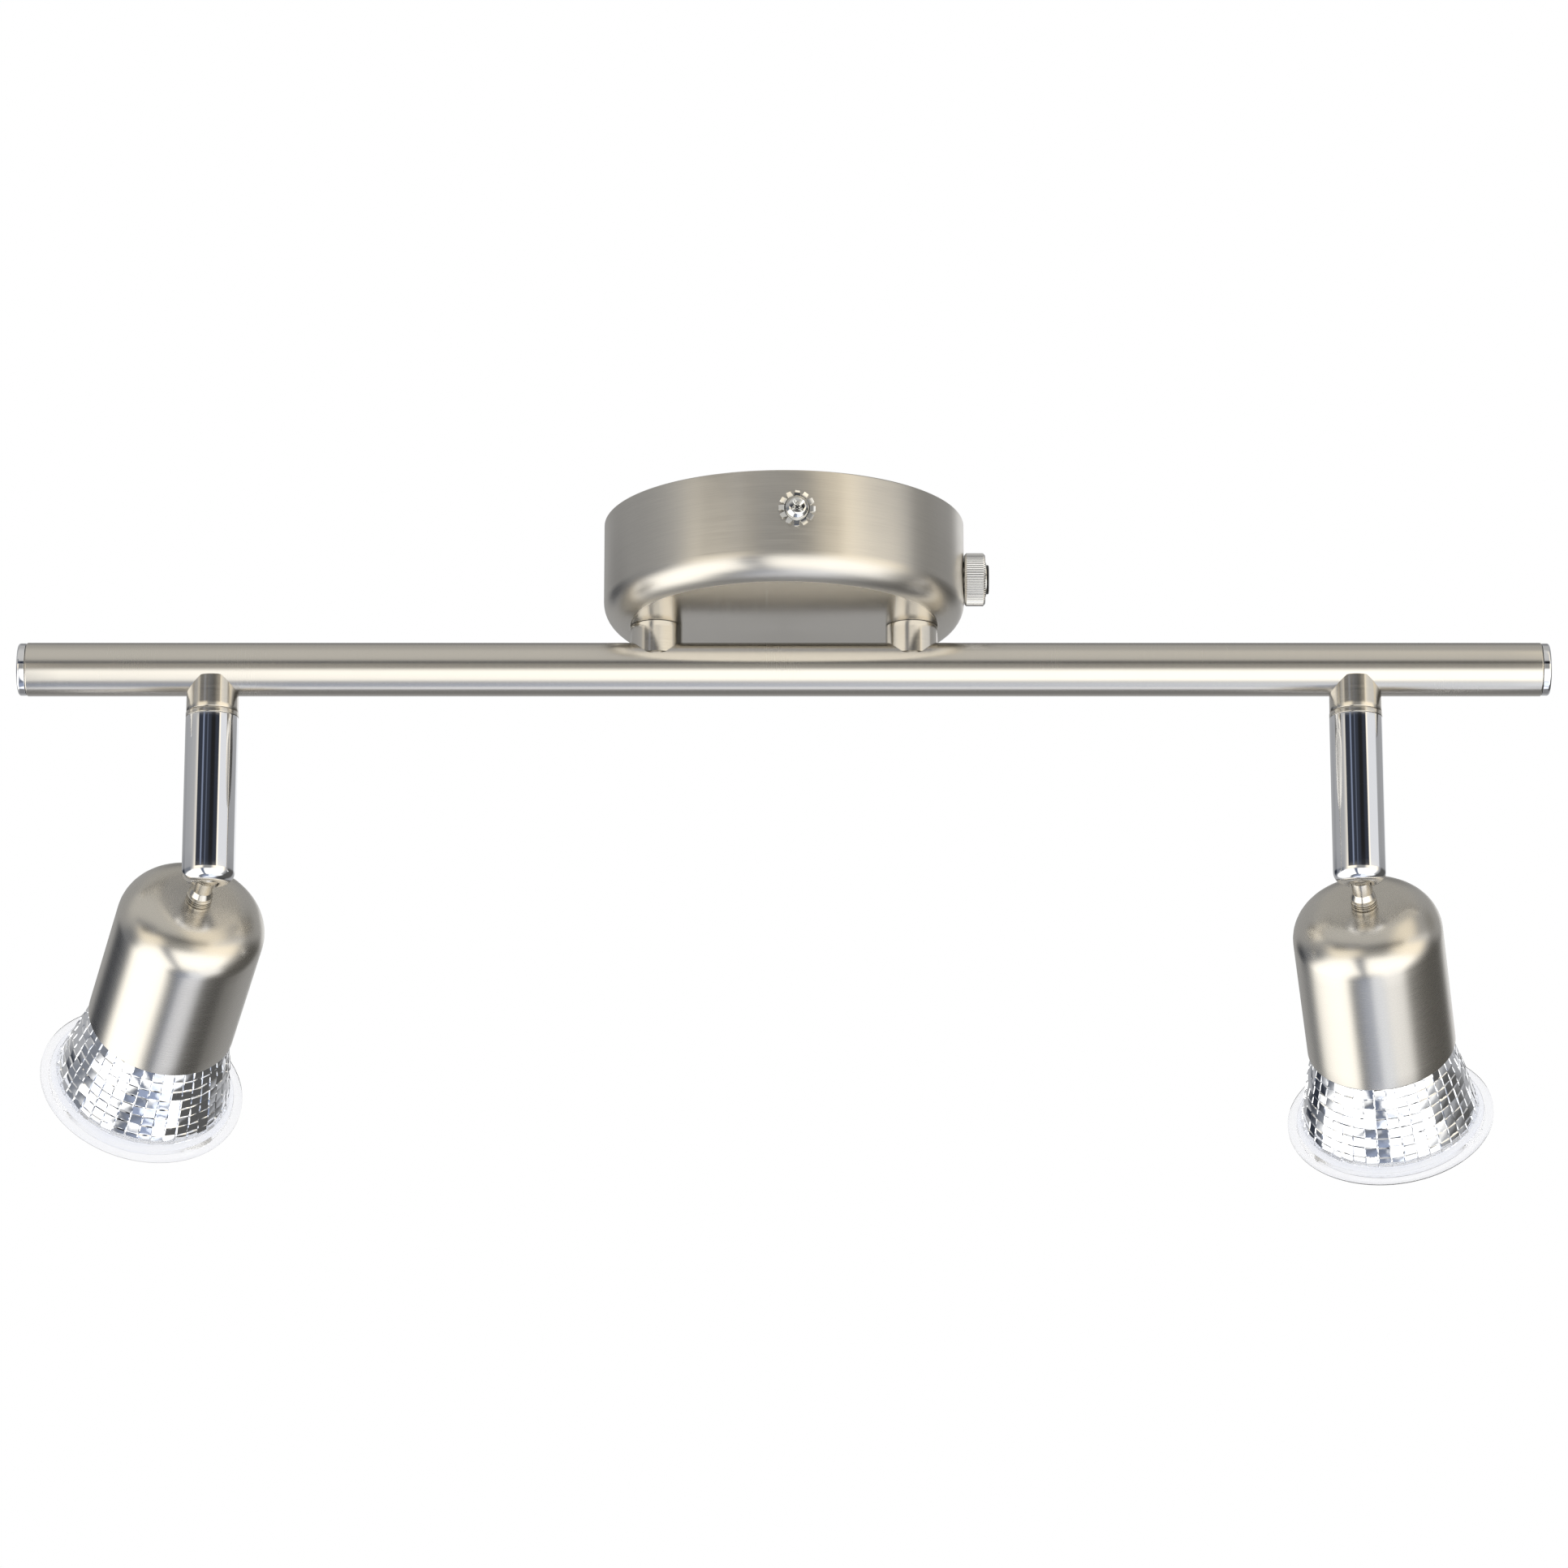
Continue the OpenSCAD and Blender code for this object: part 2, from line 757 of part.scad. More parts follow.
module lampholder(side) {
    floor_z = pin_tip - 0.8;
    throat_z = pin_tip + pin_head_t + 0.4;
    path_r = pin_pitch / 2;
    color(porcelain) in_head(side) difference() {
        span(holder_start, holder_end, holder_r);
        for (turn = [0, 180]) rotate(turn) {
            bayonet_slot(pin_head_r + 0.3, floor_z, throat_z);
            bayonet_slot(pin_r + 0.3, floor_z + 1, holder_end + 1);
            rotate(-lock_twist) translate([path_r, 0, 0])
                span(floor_z - 0.1, holder_end + 1, pin_head_r + 0.4);
            translate([path_r, 0, 0]) span(holder_start - 1, floor_z + 1, thin_lead_r + 0.2);
        }
        for (end = [-1, 1]) translate([0, end * holder_screw_y, 0])
            span(holder_start - 1, holder_start + 6, holder_screw_r + gap);
    }
}

// ---- Lamps ----

// Outside radius of the lamp bowl, a parabola from its neck to its flange
function bowl_r(z) =
    let (part = (z - base_end) / (flange_start - base_end))
    sqrt(pow(bowl_back_r, 2) + (pow(bowl_front_r, 2) - pow(bowl_back_r, 2)) * part);

module lamp_bowl(side) {
    heights = [for (i = [0 : bowl_steps]) base_end + (flange_start - base_end) * i / bowl_steps];
    lens_seat = lamp_front - lens_t - 0.4;
    step_r = lamp_d / 2 - 1.3;
    outside = [for (z = heights) [bowl_r(z), z]];
    inside = [for (i = [bowl_steps : -1 : 0]) [bowl_r(heights[i]) - bowl_wall, heights[i]]];
    flange = [
        [step_r, flange_start],
        [step_r, flange_start + 0.9],
        [lamp_d / 2 - 0.3, flange_start + 0.9],
        [lamp_d / 2, flange_start + 1.2],
        [lamp_d / 2, lamp_front - 0.4],
        [lamp_d / 2 - 0.4, lamp_front],
        [lens_r + 0.1, lamp_front],
        [lens_r + 0.1, lens_seat],
        [bowl_front_r - bowl_wall, lens_seat]
    ];
    color(mirror_glass) in_head(side) rotate_extrude() polygon(concat(outside, flange, inside));
}

module lamp_lens(side) {
    color(clear_glass) in_head(side) span(lamp_front - lens_t - 0.35, lamp_front - 0.35, lens_r);
}

module led_board(side) {
    chip_r = 4.5;
    chip_t = 0.6;
    color("white") in_head(side) span(base_end + gap, base_end + board_t, board_r);
    color("gold") in_head(side) span(base_end + board_t - eps, base_end + board_t + chip_t, chip_r);
}

module lamp_base(side) {
    color(porcelain) in_head(side) difference() {
        rotate_extrude() polygon([
            [0, base_start],
            [base_r - 0.6, base_start],
            [base_r, base_start + 0.6],
            [base_r + 0.7, base_start + 5],
            [bowl_back_r, base_end - 1.5],
            [bowl_back_r, base_end - gap],
            [0, base_end - gap]
        ]);
        for (turn = [0, 180]) rotate(turn) translate([pin_pitch / 2, 0, 0])
            span(base_start - 1, base_start + 3, pin_r + gap);
    }
}

module lamp_pins(side) {
    color(zinc) in_head(side) for (turn = [0, 180]) rotate(turn) translate([pin_pitch / 2, 0, 0]) {
        span(pin_tip, base_start + 2.9, pin_r);
        span(pin_tip, pin_tip + pin_head_t, pin_head_r);
    }
}

canopy();
ceiling_bracket();
canopy_screws();
star_washers();
earth_screw();
terminal_block();
terminal_inserts();
terminal_screws();
knurled_nut();
entry_nipple();
entry_locknut();
entry_bush();
post(LEFT);  // post_left
post(RIGHT);  // post_right
post_nipples();
post_nuts();
bar_tube();
end_cap(LEFT);  // end_cap_left
end_cap(RIGHT);  // end_cap_right
saddle(LEFT);  // saddle_left
saddle(RIGHT);  // saddle_right
swivel_rings();
swivel_nipples();
swivel_washers();
swivel_nuts();
live_leads();
neutral_leads();
earth_lead();
arm_tube(LEFT);  // arm_tube_left
arm_tube(RIGHT);  // arm_tube_right
pressure_cup(LEFT);  // pressure_cup_left
pressure_cup(RIGHT);  // pressure_cup_right
disc_springs(LEFT);  // disc_springs_left
disc_springs(RIGHT);  // disc_springs_right
arm_leads(LEFT);  // arm_leads_left
arm_leads(RIGHT);  // arm_leads_right
ball_stud(LEFT);  // ball_stud_left
ball_stud(RIGHT);  // ball_stud_right
head_shell(LEFT);  // head_shell_left
head_shell(RIGHT);  // head_shell_right
stud_nut(LEFT);  // stud_nut_left
stud_nut(RIGHT);  // stud_nut_right
holder_bracket(LEFT);  // holder_bracket_left
holder_bracket(RIGHT);  // holder_bracket_right
holder_screws(LEFT);  // holder_screws_left
holder_screws(RIGHT);  // holder_screws_right
lampholder(LEFT);  // lampholder_left
lampholder(RIGHT);  // lampholder_right
head_leads(LEFT);  // head_leads_left
head_leads(RIGHT);  // head_leads_right
lamp_base(LEFT);  // lamp_base_left
lamp_base(RIGHT);  // lamp_base_right
lamp_pins(LEFT);  // lamp_pins_left
lamp_pins(RIGHT);  // lamp_pins_right
lamp_bowl(LEFT);  // lamp_bowl_left
lamp_bowl(RIGHT);  // lamp_bowl_right
lamp_lens(LEFT);  // lamp_lens_left
lamp_lens(RIGHT);  // lamp_lens_right
led_board(LEFT);  // led_board_left
led_board(RIGHT);  // led_board_right
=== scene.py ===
"""Two-lamp ceiling spotlight bar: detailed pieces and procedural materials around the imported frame.

Places are metres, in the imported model's frame: +X along the bar, +Z up at the ceiling. The sizes
of a piece are millimetres, and are multiplied by MM where its mesh or its matrix is made.
"""
import json
import random
from math import acos, asin, cos, degrees, hypot, pi, radians, sin, sqrt, tan

import bmesh
import bpy
from mathutils import Matrix, Vector


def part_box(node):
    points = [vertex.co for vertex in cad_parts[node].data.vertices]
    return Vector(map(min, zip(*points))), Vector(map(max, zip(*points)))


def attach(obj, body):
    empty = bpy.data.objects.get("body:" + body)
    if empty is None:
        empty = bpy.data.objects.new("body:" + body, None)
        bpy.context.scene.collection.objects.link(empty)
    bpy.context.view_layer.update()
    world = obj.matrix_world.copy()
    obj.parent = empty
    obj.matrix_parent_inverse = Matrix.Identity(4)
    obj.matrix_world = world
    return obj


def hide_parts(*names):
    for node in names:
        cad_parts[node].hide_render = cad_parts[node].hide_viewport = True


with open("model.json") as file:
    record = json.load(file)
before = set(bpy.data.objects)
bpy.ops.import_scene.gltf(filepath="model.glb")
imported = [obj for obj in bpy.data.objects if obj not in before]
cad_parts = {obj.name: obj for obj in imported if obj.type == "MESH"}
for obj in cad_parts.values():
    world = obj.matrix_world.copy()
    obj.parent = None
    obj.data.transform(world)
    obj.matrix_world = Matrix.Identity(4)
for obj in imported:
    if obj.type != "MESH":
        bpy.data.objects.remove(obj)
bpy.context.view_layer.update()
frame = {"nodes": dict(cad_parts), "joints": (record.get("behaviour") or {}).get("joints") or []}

MM = 0.001
TAU = 2 * pi
STEPS = 144  # faces round a turned piece that asks for no other number
FINE_STEPS = 240  # faces round the canopy and the shells
MIDDLE_STEPS = 160  # faces round the arms and the lamps
SMALL_STEPS = 96  # faces round the small pieces
SHARP = 32  # degrees: an edge steeper than this stays sharp
TURNED_SHARP = 40  # the same for a knurl or a thread
WELD = 1e-7  # metres: vertices closer than this become one
ON_AXIS = 1e-6  # millimetres: an outline's point closer than this to the axis is on it
SIDES = {"left": -1, "right": 1}
scene = bpy.context.scene

# ---- Camera, background and floor ----

# Place in metres, lens and sensor in millimetres
CAMERA_AT = Vector((0.0, -1.438, -0.4656))
CAMERA_PITCH = 15.6  # degrees above the horizon
CAMERA_LENS = 144.65
SENSOR_WIDTH = 36
FLOOR_Z = -2.4

camera_data = bpy.data.cameras.new("camera")
camera_data.lens = CAMERA_LENS
camera_data.sensor_width = SENSOR_WIDTH
camera = bpy.data.objects.new("camera", camera_data)
camera.location = CAMERA_AT
camera.rotation_euler = (radians(90 + CAMERA_PITCH), 0, 0)
scene.collection.objects.link(camera)
scene.camera = camera
scene.view_settings.view_transform = "Standard"

# ---- Node helpers ----


class Graph:
    """Short ways to add and link shader nodes in one node tree."""

    def __init__(self, tree):
        self.tree = tree
        tree.nodes.clear()

    def add(self, kind, inputs=None, **settings):
        node = self.tree.nodes.new(kind)
        for key, value in settings.items():
            setattr(node, key, value)
        for key, value in (inputs or {}).items():
            self.feed(node.inputs[key], value)
        return node

    def feed(self, socket, value):
        if isinstance(value, bpy.types.NodeSocket):
            self.tree.links.new(value, socket)
        else:
            socket.default_value = value

    def math(self, operation, *values):
        node = self.add("ShaderNodeMath", operation=operation)
        for socket, value in zip(node.inputs, values):
            self.feed(socket, value)
        return node.outputs[0]

    def remap(self, value, low, high, to_low, to_high):
        """The value's range low to high, eased on to to_low to to_high and held there beyond it."""
        node = self.add("ShaderNodeMapRange", {0: value, 1: low, 2: high, 3: to_low, 4: to_high})
        node.interpolation_type = "SMOOTHSTEP"
        return node.outputs[0]

    def spread(self, noise, to_low, to_high):
        """A noise's usual range on to to_low to to_high."""
        return self.remap(noise, 0.3, 0.7, to_low, to_high)

    def noise(self, vector, scale, detail=2.0, roughness=0.5):
        inputs = {"Vector": vector, "Scale": scale, "Detail": detail, "Roughness": roughness}
        return self.add("ShaderNodeTexNoise", inputs).outputs["Fac"]

    def mix(self, factor, a, b):
        """Blend of two colours; the node's inputs 6 and 7 and its output 2 are for colours."""
        node = self.add("ShaderNodeMix", data_type="RGBA")
        for index, value in ((0, factor), (6, a), (7, b)):
            if isinstance(value, tuple):
                value = (*value, 1)
            self.feed(node.inputs[index], value)
        return node.outputs[2]

    def position(self):
        return self.add("ShaderNodeTexCoord").outputs["Object"]

    def xyz(self, vector):
        return self.add("ShaderNodeSeparateXYZ", {0: vector}).outputs

    def join(self, x, y, z):
        return self.add("ShaderNodeCombineXYZ", {0: x, 1: y, 2: z}).outputs[0]

    def bump(self, height, strength, distance):
        inputs = {"Height": height, "Strength": strength, "Distance": distance}
        return self.add("ShaderNodeBump", inputs).outputs[0]


def new_material(name):
    """A material with a Principled shader, as (material, graph, shader's inputs)."""
    material = bpy.data.materials.new(name)
    material.use_nodes = True
    graph = Graph(material.node_tree)
    shader = graph.add("ShaderNodeBsdfPrincipled")
    output = graph.add("ShaderNodeOutputMaterial")
    graph.tree.links.new(shader.outputs[0], output.inputs[0])
    return material, graph, shader.inputs


def feed(graph, sockets, values):
    """Sets or links a shader's inputs by name; a colour may come without its alpha."""
    for key, value in values.items():
        if isinstance(value, tuple) and len(value) == 3:
            value = (*value, 1)
        graph.feed(sockets[key], value)


# ---- Materials ----

# What a bump's full height stands for, in metres
LINE_HEIGHT = 0.00002
GRAIN_HEIGHT = 0.00005
WAVE_HEIGHT = 0.0002
LENS_WAVE_HEIGHT = 0.0004

# Brush lines per metre, along and across a piece's own Z axis
FINE_LINES = (7000, 110)
BROAD_LINES = (1700, 30)
POLISH_LINES = (1500, 300)
FLOW_LINES = (600, 60)


def shaded(colour, share):
    """The colour made darker, or lighter up to white."""
    return tuple(min(1, part * share) for part in colour)


def turned(graph, along, across):
    """Position stretched into lines that run round a piece's own Z axis."""
    x, y, z = graph.xyz(graph.position())[:3]
    squares = [graph.math("MULTIPLY", part, part) for part in (x, y)]
    radius = graph.math("SQRT", graph.math("ADD", *squares))
    run = graph.math("ADD", z, radius)
    stretches = ((x, across), (y, across), (run, along))
    return graph.join(*(graph.math("MULTIPLY", part, lines) for part, lines in stretches))


def brushed_metal(name, colour, roughness, anisotropic, line_depth, tone=0.05, handling=0.03):
    """Satin metal brushed round a piece's own Z axis.

    tone is how far the brush lines vary in shade, and handling how much handling marks dull it.
    """
    material, graph, sockets = new_material(name)
    fine = graph.noise(turned(graph, *FINE_LINES), 1.0, 3.0, 0.6)
    broad = graph.noise(turned(graph, *BROAD_LINES), 1.0, 2.0, 0.5)
    handled = graph.noise(graph.position(), 55, 2.0, 0.5)
    lines = graph.math("ADD", graph.math("MULTIPLY", fine, 0.75), graph.math("MULTIPLY", broad, 0.25))
    swing = tone * 0.6
    dull, light = shaded(colour, 1 - tone), shaded(colour, 1 + swing)
    rough = graph.math(
        "ADD", graph.spread(lines, roughness - swing, roughness + swing),
        graph.remap(handled, 0.45, 0.7, 0, handling))
    feed(graph, sockets, {
        "Base Color": graph.mix(graph.spread(lines, 0, 1), dull, light),
        "Metallic": 1.0,
        "Roughness": rough,
        "Anisotropic": anisotropic,
        "Anisotropic Rotation": 0.25,
        "Tangent": graph.add("ShaderNodeTangent", direction_type="RADIAL", axis="Z").outputs[0],
        "Normal": graph.bump(lines, line_depth, LINE_HEIGHT),
    })
    return material


def polished_metal(name, colour, roughness, wave=0.04):
    """Polished plating with faint polishing marks and a slight waviness."""
    material, graph, sockets = new_material(name)
    marks = graph.noise(turned(graph, *POLISH_LINES), 1.0, 2.0, 0.5)
    slow = graph.noise(graph.position(), 140, 2.0, 0.5)
    feed(graph, sockets, {
        "Base Color": graph.mix(slow, shaded(colour, 0.97), colour),
        "Metallic": 1.0,
        "Roughness": graph.remap(marks, 0.4, 0.75, roughness, roughness + 0.03),
        "Normal": graph.bump(slow, wave, WAVE_HEIGHT),
    })
    return material


def plated_steel(name, colour, spangle=0.5):
    """Dull zinc plating: cloudy colour, small crystals and a fine rolled grain."""
    material, graph, sockets = new_material(name)
    place = graph.position()
    cloud = graph.noise(place, 260, 3.0, 0.6)
    crystals = graph.add("ShaderNodeTexVoronoi", {"Vector": place, "Scale": 900.0}).outputs["Distance"]
    grain = graph.noise(place, 2600, 2.0, 0.6)
    shade = graph.math(
        "ADD", graph.math("MULTIPLY", cloud, 1 - spangle), graph.math("MULTIPLY", crystals, spangle))
    feed(graph, sockets, {
        "Base Color": graph.mix(shade, shaded(colour, 0.8), shaded(colour, 1.12)),
        "Metallic": 1.0,
        "Roughness": graph.spread(cloud, 0.28, 0.42),
        "Normal": graph.bump(grain, 0.25, GRAIN_HEIGHT),
    })
    return material


def moulded(name, colour, roughness=0.45, grain_scale=2200, coat=0.0, coat_roughness=0.1):
    """Moulded plastic or glazed ceramic: a fine skin, slightly uneven colour and gloss."""
    material, graph, sockets = new_material(name)
    place = graph.position()
    grain = graph.noise(place, grain_scale, 2.0, 0.5)
    flow = graph.noise(place, 130, 3.0, 0.55)
    feed(graph, sockets, {
        "Base Color": graph.mix(graph.spread(flow, 0, 1), shaded(colour, 0.86), colour),
        "Roughness": graph.spread(flow, roughness - 0.06, roughness + 0.06),
        "Coat Weight": coat,
        "Coat Roughness": coat_roughness,
        "Normal": graph.bump(grain, 0.3, GRAIN_HEIGHT),
    })
    return material


def clear_glass(name, tint):
    """Pressed clear glass with a faint waviness and a light frosting of moulding marks."""
    material, graph, sockets = new_material(name)
    place = graph.position()
    wave = graph.noise(place, 240, 2.0, 0.5)
    feed(graph, sockets, {
        "Base Color": graph.mix(wave, tint, (1, 1, 1)),
        "Roughness": graph.remap(graph.noise(place, 700), 0.4, 0.7, 0.02, 0.09),
        "IOR": 1.2,
        "Transmission Weight": 1.0,
        "Normal": graph.bump(wave, 0.2, LENS_WAVE_HEIGHT),
    })
    return material


def pressed_glass(name, tint):
    """Pressed glass of a lamp's rim, pale and soft, with flow lines round its own Z axis."""
    material, graph, sockets = new_material(name)
    flow = graph.noise(turned(graph, *FLOW_LINES), 1.0, 2.0, 0.5)
    feed(graph, sockets, {
        "Base Color": graph.mix(flow, tint, (1, 1, 1)),
        "Roughness": graph.remap(flow, 0.35, 0.7, 0.05, 0.09),
        "IOR": 1.15,
        "Transmission Weight": 0.94,
        "Specular IOR Level": 0.5,
        "Normal": graph.bump(flow, 0.01, WAVE_HEIGHT),
    })
    return material


def mirrored_glass(name):
    """Metallised glass: bright silver under a clear skin, with pinholes and a faint bluish cast."""
    material, graph, sockets = new_material(name)
    place = graph.position()
    cast = graph.noise(place, 90, 2.0, 0.5)
    pinholes = graph.remap(graph.noise(place, 2400, 1.0, 0.4), 0.66, 0.72, 0, 1)
    wave = graph.noise(place, 420, 2.0, 0.5)
    silver = graph.mix(cast, (0.80, 0.83, 0.90), (0.93, 0.94, 0.96))
    feed(graph, sockets, {
        "Base Color": graph.mix(graph.math("MULTIPLY", pinholes, 0.3), silver, (0.35, 0.38, 0.45)),
        "Metallic": 1.0,
        "Roughness": graph.remap(wave, 0.3, 0.8, 0.05, 0.12),
        "Coat Weight": 0.6,
        "Coat Roughness": 0.02,
        "Normal": graph.bump(wave, 0.10, WAVE_HEIGHT),
    })
    return material


NICKEL = (0.66, 0.635, 0.59)
ZINC = (0.60, 0.61, 0.62)

MATERIALS = {
    "nickel_brushed": brushed_metal("nickel_brushed", NICKEL, 0.32, 0.7, 0.2),
    "nickel_satin": brushed_metal("nickel_satin", NICKEL, 0.20, 0.4, 0.06, tone=0.03, handling=0.01),
    "nickel_shell": brushed_metal("nickel_shell", NICKEL, 0.27, 0.5, 0.05, tone=0.02, handling=0.01),
    "nickel_bar": brushed_metal("nickel_bar", NICKEL, 0.26, 0.4, 0.02, tone=0.012, handling=0.01),
    "nickel_knurl": polished_metal("nickel_knurl", (0.72, 0.72, 0.72), 0.15, wave=0.1),
    "chrome": polished_metal("chrome", (0.80, 0.81, 0.84), 0.03),
    "screw_plate": polished_metal("screw_plate", (0.74, 0.74, 0.73), 0.10),
    "zinc": plated_steel("zinc", ZINC),
    "spring_steel": plated_steel("spring_steel", (0.42, 0.42, 0.44), 0.2),
    "brass": brushed_metal("brass", (0.78, 0.60, 0.32), 0.24, 0.4, 0.3),
    "ivory_plastic": moulded("ivory_plastic", (0.84, 0.81, 0.72), 0.42),
    "black_plastic": moulded("black_plastic", (0.018, 0.018, 0.019), 0.38),
    "brown_wire": moulded("brown_wire", (0.16, 0.065, 0.03), 0.4, 1400),
    "blue_wire": moulded("blue_wire", (0.03, 0.10, 0.42), 0.4, 1400),
    "green_wire": moulded("green_wire", (0.10, 0.36, 0.06), 0.4, 1400),
    "silicone_wire": moulded("silicone_wire", (0.76, 0.74, 0.69), 0.5, 1400),
    "porcelain": moulded("porcelain", (0.86, 0.84, 0.79), 0.3, 900, coat=0.8, coat_roughness=0.06),
    "mirrored_glass": mirrored_glass("mirrored_glass"),
    "clear_glass": clear_glass("clear_glass", (0.93, 0.95, 1.0)),
    "pressed_glass": pressed_glass("pressed_glass", (0.93, 0.94, 0.99)),
    "board_white": moulded("board_white", (0.86, 0.87, 0.86), 0.35, 1800),
    "phosphor": moulded("phosphor", (0.92, 0.70, 0.16), 0.5, 3000),
}

# ---- Mesh helpers ----


def build(name, verts, faces, material, sharp=SHARP):
    """A smooth-shaded object from vertices and faces, with its steeper edges kept sharp."""
    mesh = bpy.data.meshes.new(name)
    mesh.from_pydata([tuple(v) for v in verts], [], faces)
    shape = bmesh.new()
    shape.from_mesh(mesh)
    bmesh.ops.remove_doubles(shape, verts=shape.verts, dist=WELD)
    bmesh.ops.recalc_face_normals(shape, faces=shape.faces)
    shape.to_mesh(mesh)
    shape.free()
    mesh.shade_smooth()
    mesh.set_sharp_from_angle(angle=radians(sharp))
    mesh.materials.append(MATERIALS[material])
    piece = bpy.data.objects.new(name, mesh)
    scene.collection.objects.link(piece)
    return piece


FILLET_STEP = 7  # degrees between the points of a rounded corner, or a little more


def fillet(points):
    """Outline in millimetres: each point is (r, z) or (r, z, radius of its rounded corner)."""
    outline = []
    for before, here, after in zip(points[-1:] + points[:-1], points, points[1:] + points[:1]):
        corner = Vector(here[:2])
        if len(here) < 3:
            outline.append(corner)
            continue
        to_before = (Vector(before[:2]) - corner).normalized()
        to_after = (Vector(after[:2]) - corner).normalized()
        half = to_before.angle(to_after) / 2
        centre = corner + (to_before + to_after).normalized() * here[2] / sin(half)
        start = corner + to_before * here[2] / tan(half) - centre
        end = corner + to_after * here[2] / tan(half) - centre
        turn = start.angle(end)
        count = max(3, int(degrees(turn) / FILLET_STEP))
        for i in range(count + 1):
            share = i / count
            swept = start * sin(turn * (1 - share)) + end * sin(turn * share)
            outline.append(centre + swept / sin(turn))
    return outline


def divided(points, spacing):
    """Closed outline with points added where two are further apart than about this spacing."""
    dense = []
    for a, b in zip(points, points[1:] + points[:1]):
        count = max(1, int((b - a).length / spacing))
        dense += [a.lerp(b, i / count) for i in range(count)]
    return dense


def arc(centre, radius, start, end, count=24):
    """Points on a circle, between two angles in degrees from the +r direction."""
    angles = [radians(start + (end - start) * i / count) for i in range(count + 1)]
    return [Vector((centre[0] + radius * cos(a), centre[1] + radius * sin(a))) for a in angles]


def revolve(outline, steps=STEPS, closed=True, shape=None):
    """Vertices and faces of an outline of (r, z) millimetres turned about the Z axis.

    shape(r, z, angle) may return another (r, z) for a vertex.
    """
    verts, rows = [], []
    for r, z in outline:
        if r < ON_AXIS:
            rows.append([len(verts)] * steps)
            verts.append((0, 0, z * MM))
            continue
        rows.append(list(range(len(verts), len(verts) + steps)))
        for k in range(steps):
            angle = TAU * k / steps
            vert_r, vert_z = shape(r, z, angle) if shape else (r, z)
            verts.append((vert_r * cos(angle) * MM, vert_r * sin(angle) * MM, vert_z * MM))
    pairs = list(zip(rows, rows[1:])) + ([(rows[-1], rows[0])] if closed else [])
    faces = []
    for low, high in pairs:
        for k in range(steps):
            after = (k + 1) % steps
            face = list(dict.fromkeys((low[k], low[after], high[after], high[k])))
            if len(face) > 2:
                faces.append(face)
    return verts, faces


def lathe(name, outline, material, steps=STEPS, closed=True, sharp=SHARP, shape=None):
    """A piece turned about its own Z axis."""
    verts, faces = revolve(outline, steps, closed, shape)
    return build(name, verts, faces, material, sharp)


def ring_faces(rings, count, closed=False):
    """Quads between successive rings of vertices, and back to the first ring if closed."""
    faces = []
    for ring in range(rings if closed else rings - 1):
        low, high = ring * count, (ring + 1) % rings * count
        for k in range(count):
            after = (k + 1) % count
            faces.append((low + k, low + after, high + after, high + k))
    return faces


def cut(piece, *cutters):
    """Cuts solids out of a piece, applies the cuts and removes the cutters."""
    for cutter in cutters:
        modifier = piece.modifiers.new("cut", "BOOLEAN")
        modifier.object = cutter
        modifier.operation = "DIFFERENCE"
        modifier.solver = "EXACT"
    bpy.context.view_layer.update()
    evaluated = piece.evaluated_get(bpy.context.evaluated_depsgraph_get())
    mesh = bpy.data.meshes.new_from_object(evaluated)
    piece.modifiers.clear()
    piece.data = mesh
    mesh.shade_smooth()
    mesh.set_sharp_from_angle(angle=radians(SHARP))
    for cutter in cutters:
        bpy.data.objects.remove(cutter)


def box_cutter(low, high):
    """A box between two corners in millimetres, for cutting only."""
    corners = [(x, y, z) for x in (low[0], high[0]) for y in (low[1], high[1])
               for z in (low[2], high[2])]
    faces = [(0, 1, 3, 2), (4, 6, 7, 5), (0, 4, 5, 1), (2, 3, 7, 6), (0, 2, 6, 4), (1, 5, 7, 3)]
    return build("cutter", [Vector(c) * MM for c in corners], faces, "zinc")


def joined(name, parts, material, sharp):
    """One object from several (vertices, faces, matrix) parts."""
    verts, faces = [], []
    for part_verts, part_faces, matrix in parts:
        start = len(verts)
        verts += [matrix @ Vector(v) for v in part_verts]
        faces += [[start + i for i in face] for face in part_faces]
    return build(name, verts, faces, material, sharp)


def finish_piece(piece, body, nodes, matrix=None):
    """Puts a piece in place, lets it ride on a body and lets it stand for its CAD nodes."""
    if matrix is not None:
        piece.matrix_world = matrix
    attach(piece, body)
    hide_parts(*nodes)


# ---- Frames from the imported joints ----

joints = {joint["name"]: joint for joint in frame["joints"]}


def basis(origin, x_axis, z_axis):
    """Matrix of a frame with the given origin, X axis and Z axis."""
    x, z = Vector(x_axis).normalized(), Vector(z_axis).normalized()
    y = z.cross(x)
    return Matrix.Translation(origin) @ Matrix((x, y, z)).transposed().to_4x4()


def arm_frame(side):
    """Frame of an arm: origin at the ball's centre, +Z up, X along the tilt axis."""
    joint = joints["arm_pan_" + side]
    return basis(joint["pos_m"], joints["head_tilt_" + side]["axis"], (0, 0, 1))


def head_frame(side):
    """Frame of a head: origin at the ball's centre, +Z the way the lamp shines."""
    joint = joints["lamp_twist_" + side]
    return basis(joint["pos_m"], joints["head_tilt_" + side]["axis"], joint["axis"])


# Turn of each lamp's own frame about its axis, which keeps its box close to its outline
LAMP_TURN = {"left": radians(23), "right": 0}


def lamp_frame(side):
    return head_frame(side) @ Matrix.Rotation(LAMP_TURN[side], 4, "Z")


UP_TO_X = Matrix.Rotation(radians(90), 4, "Y")

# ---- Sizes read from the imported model, in millimetres ----

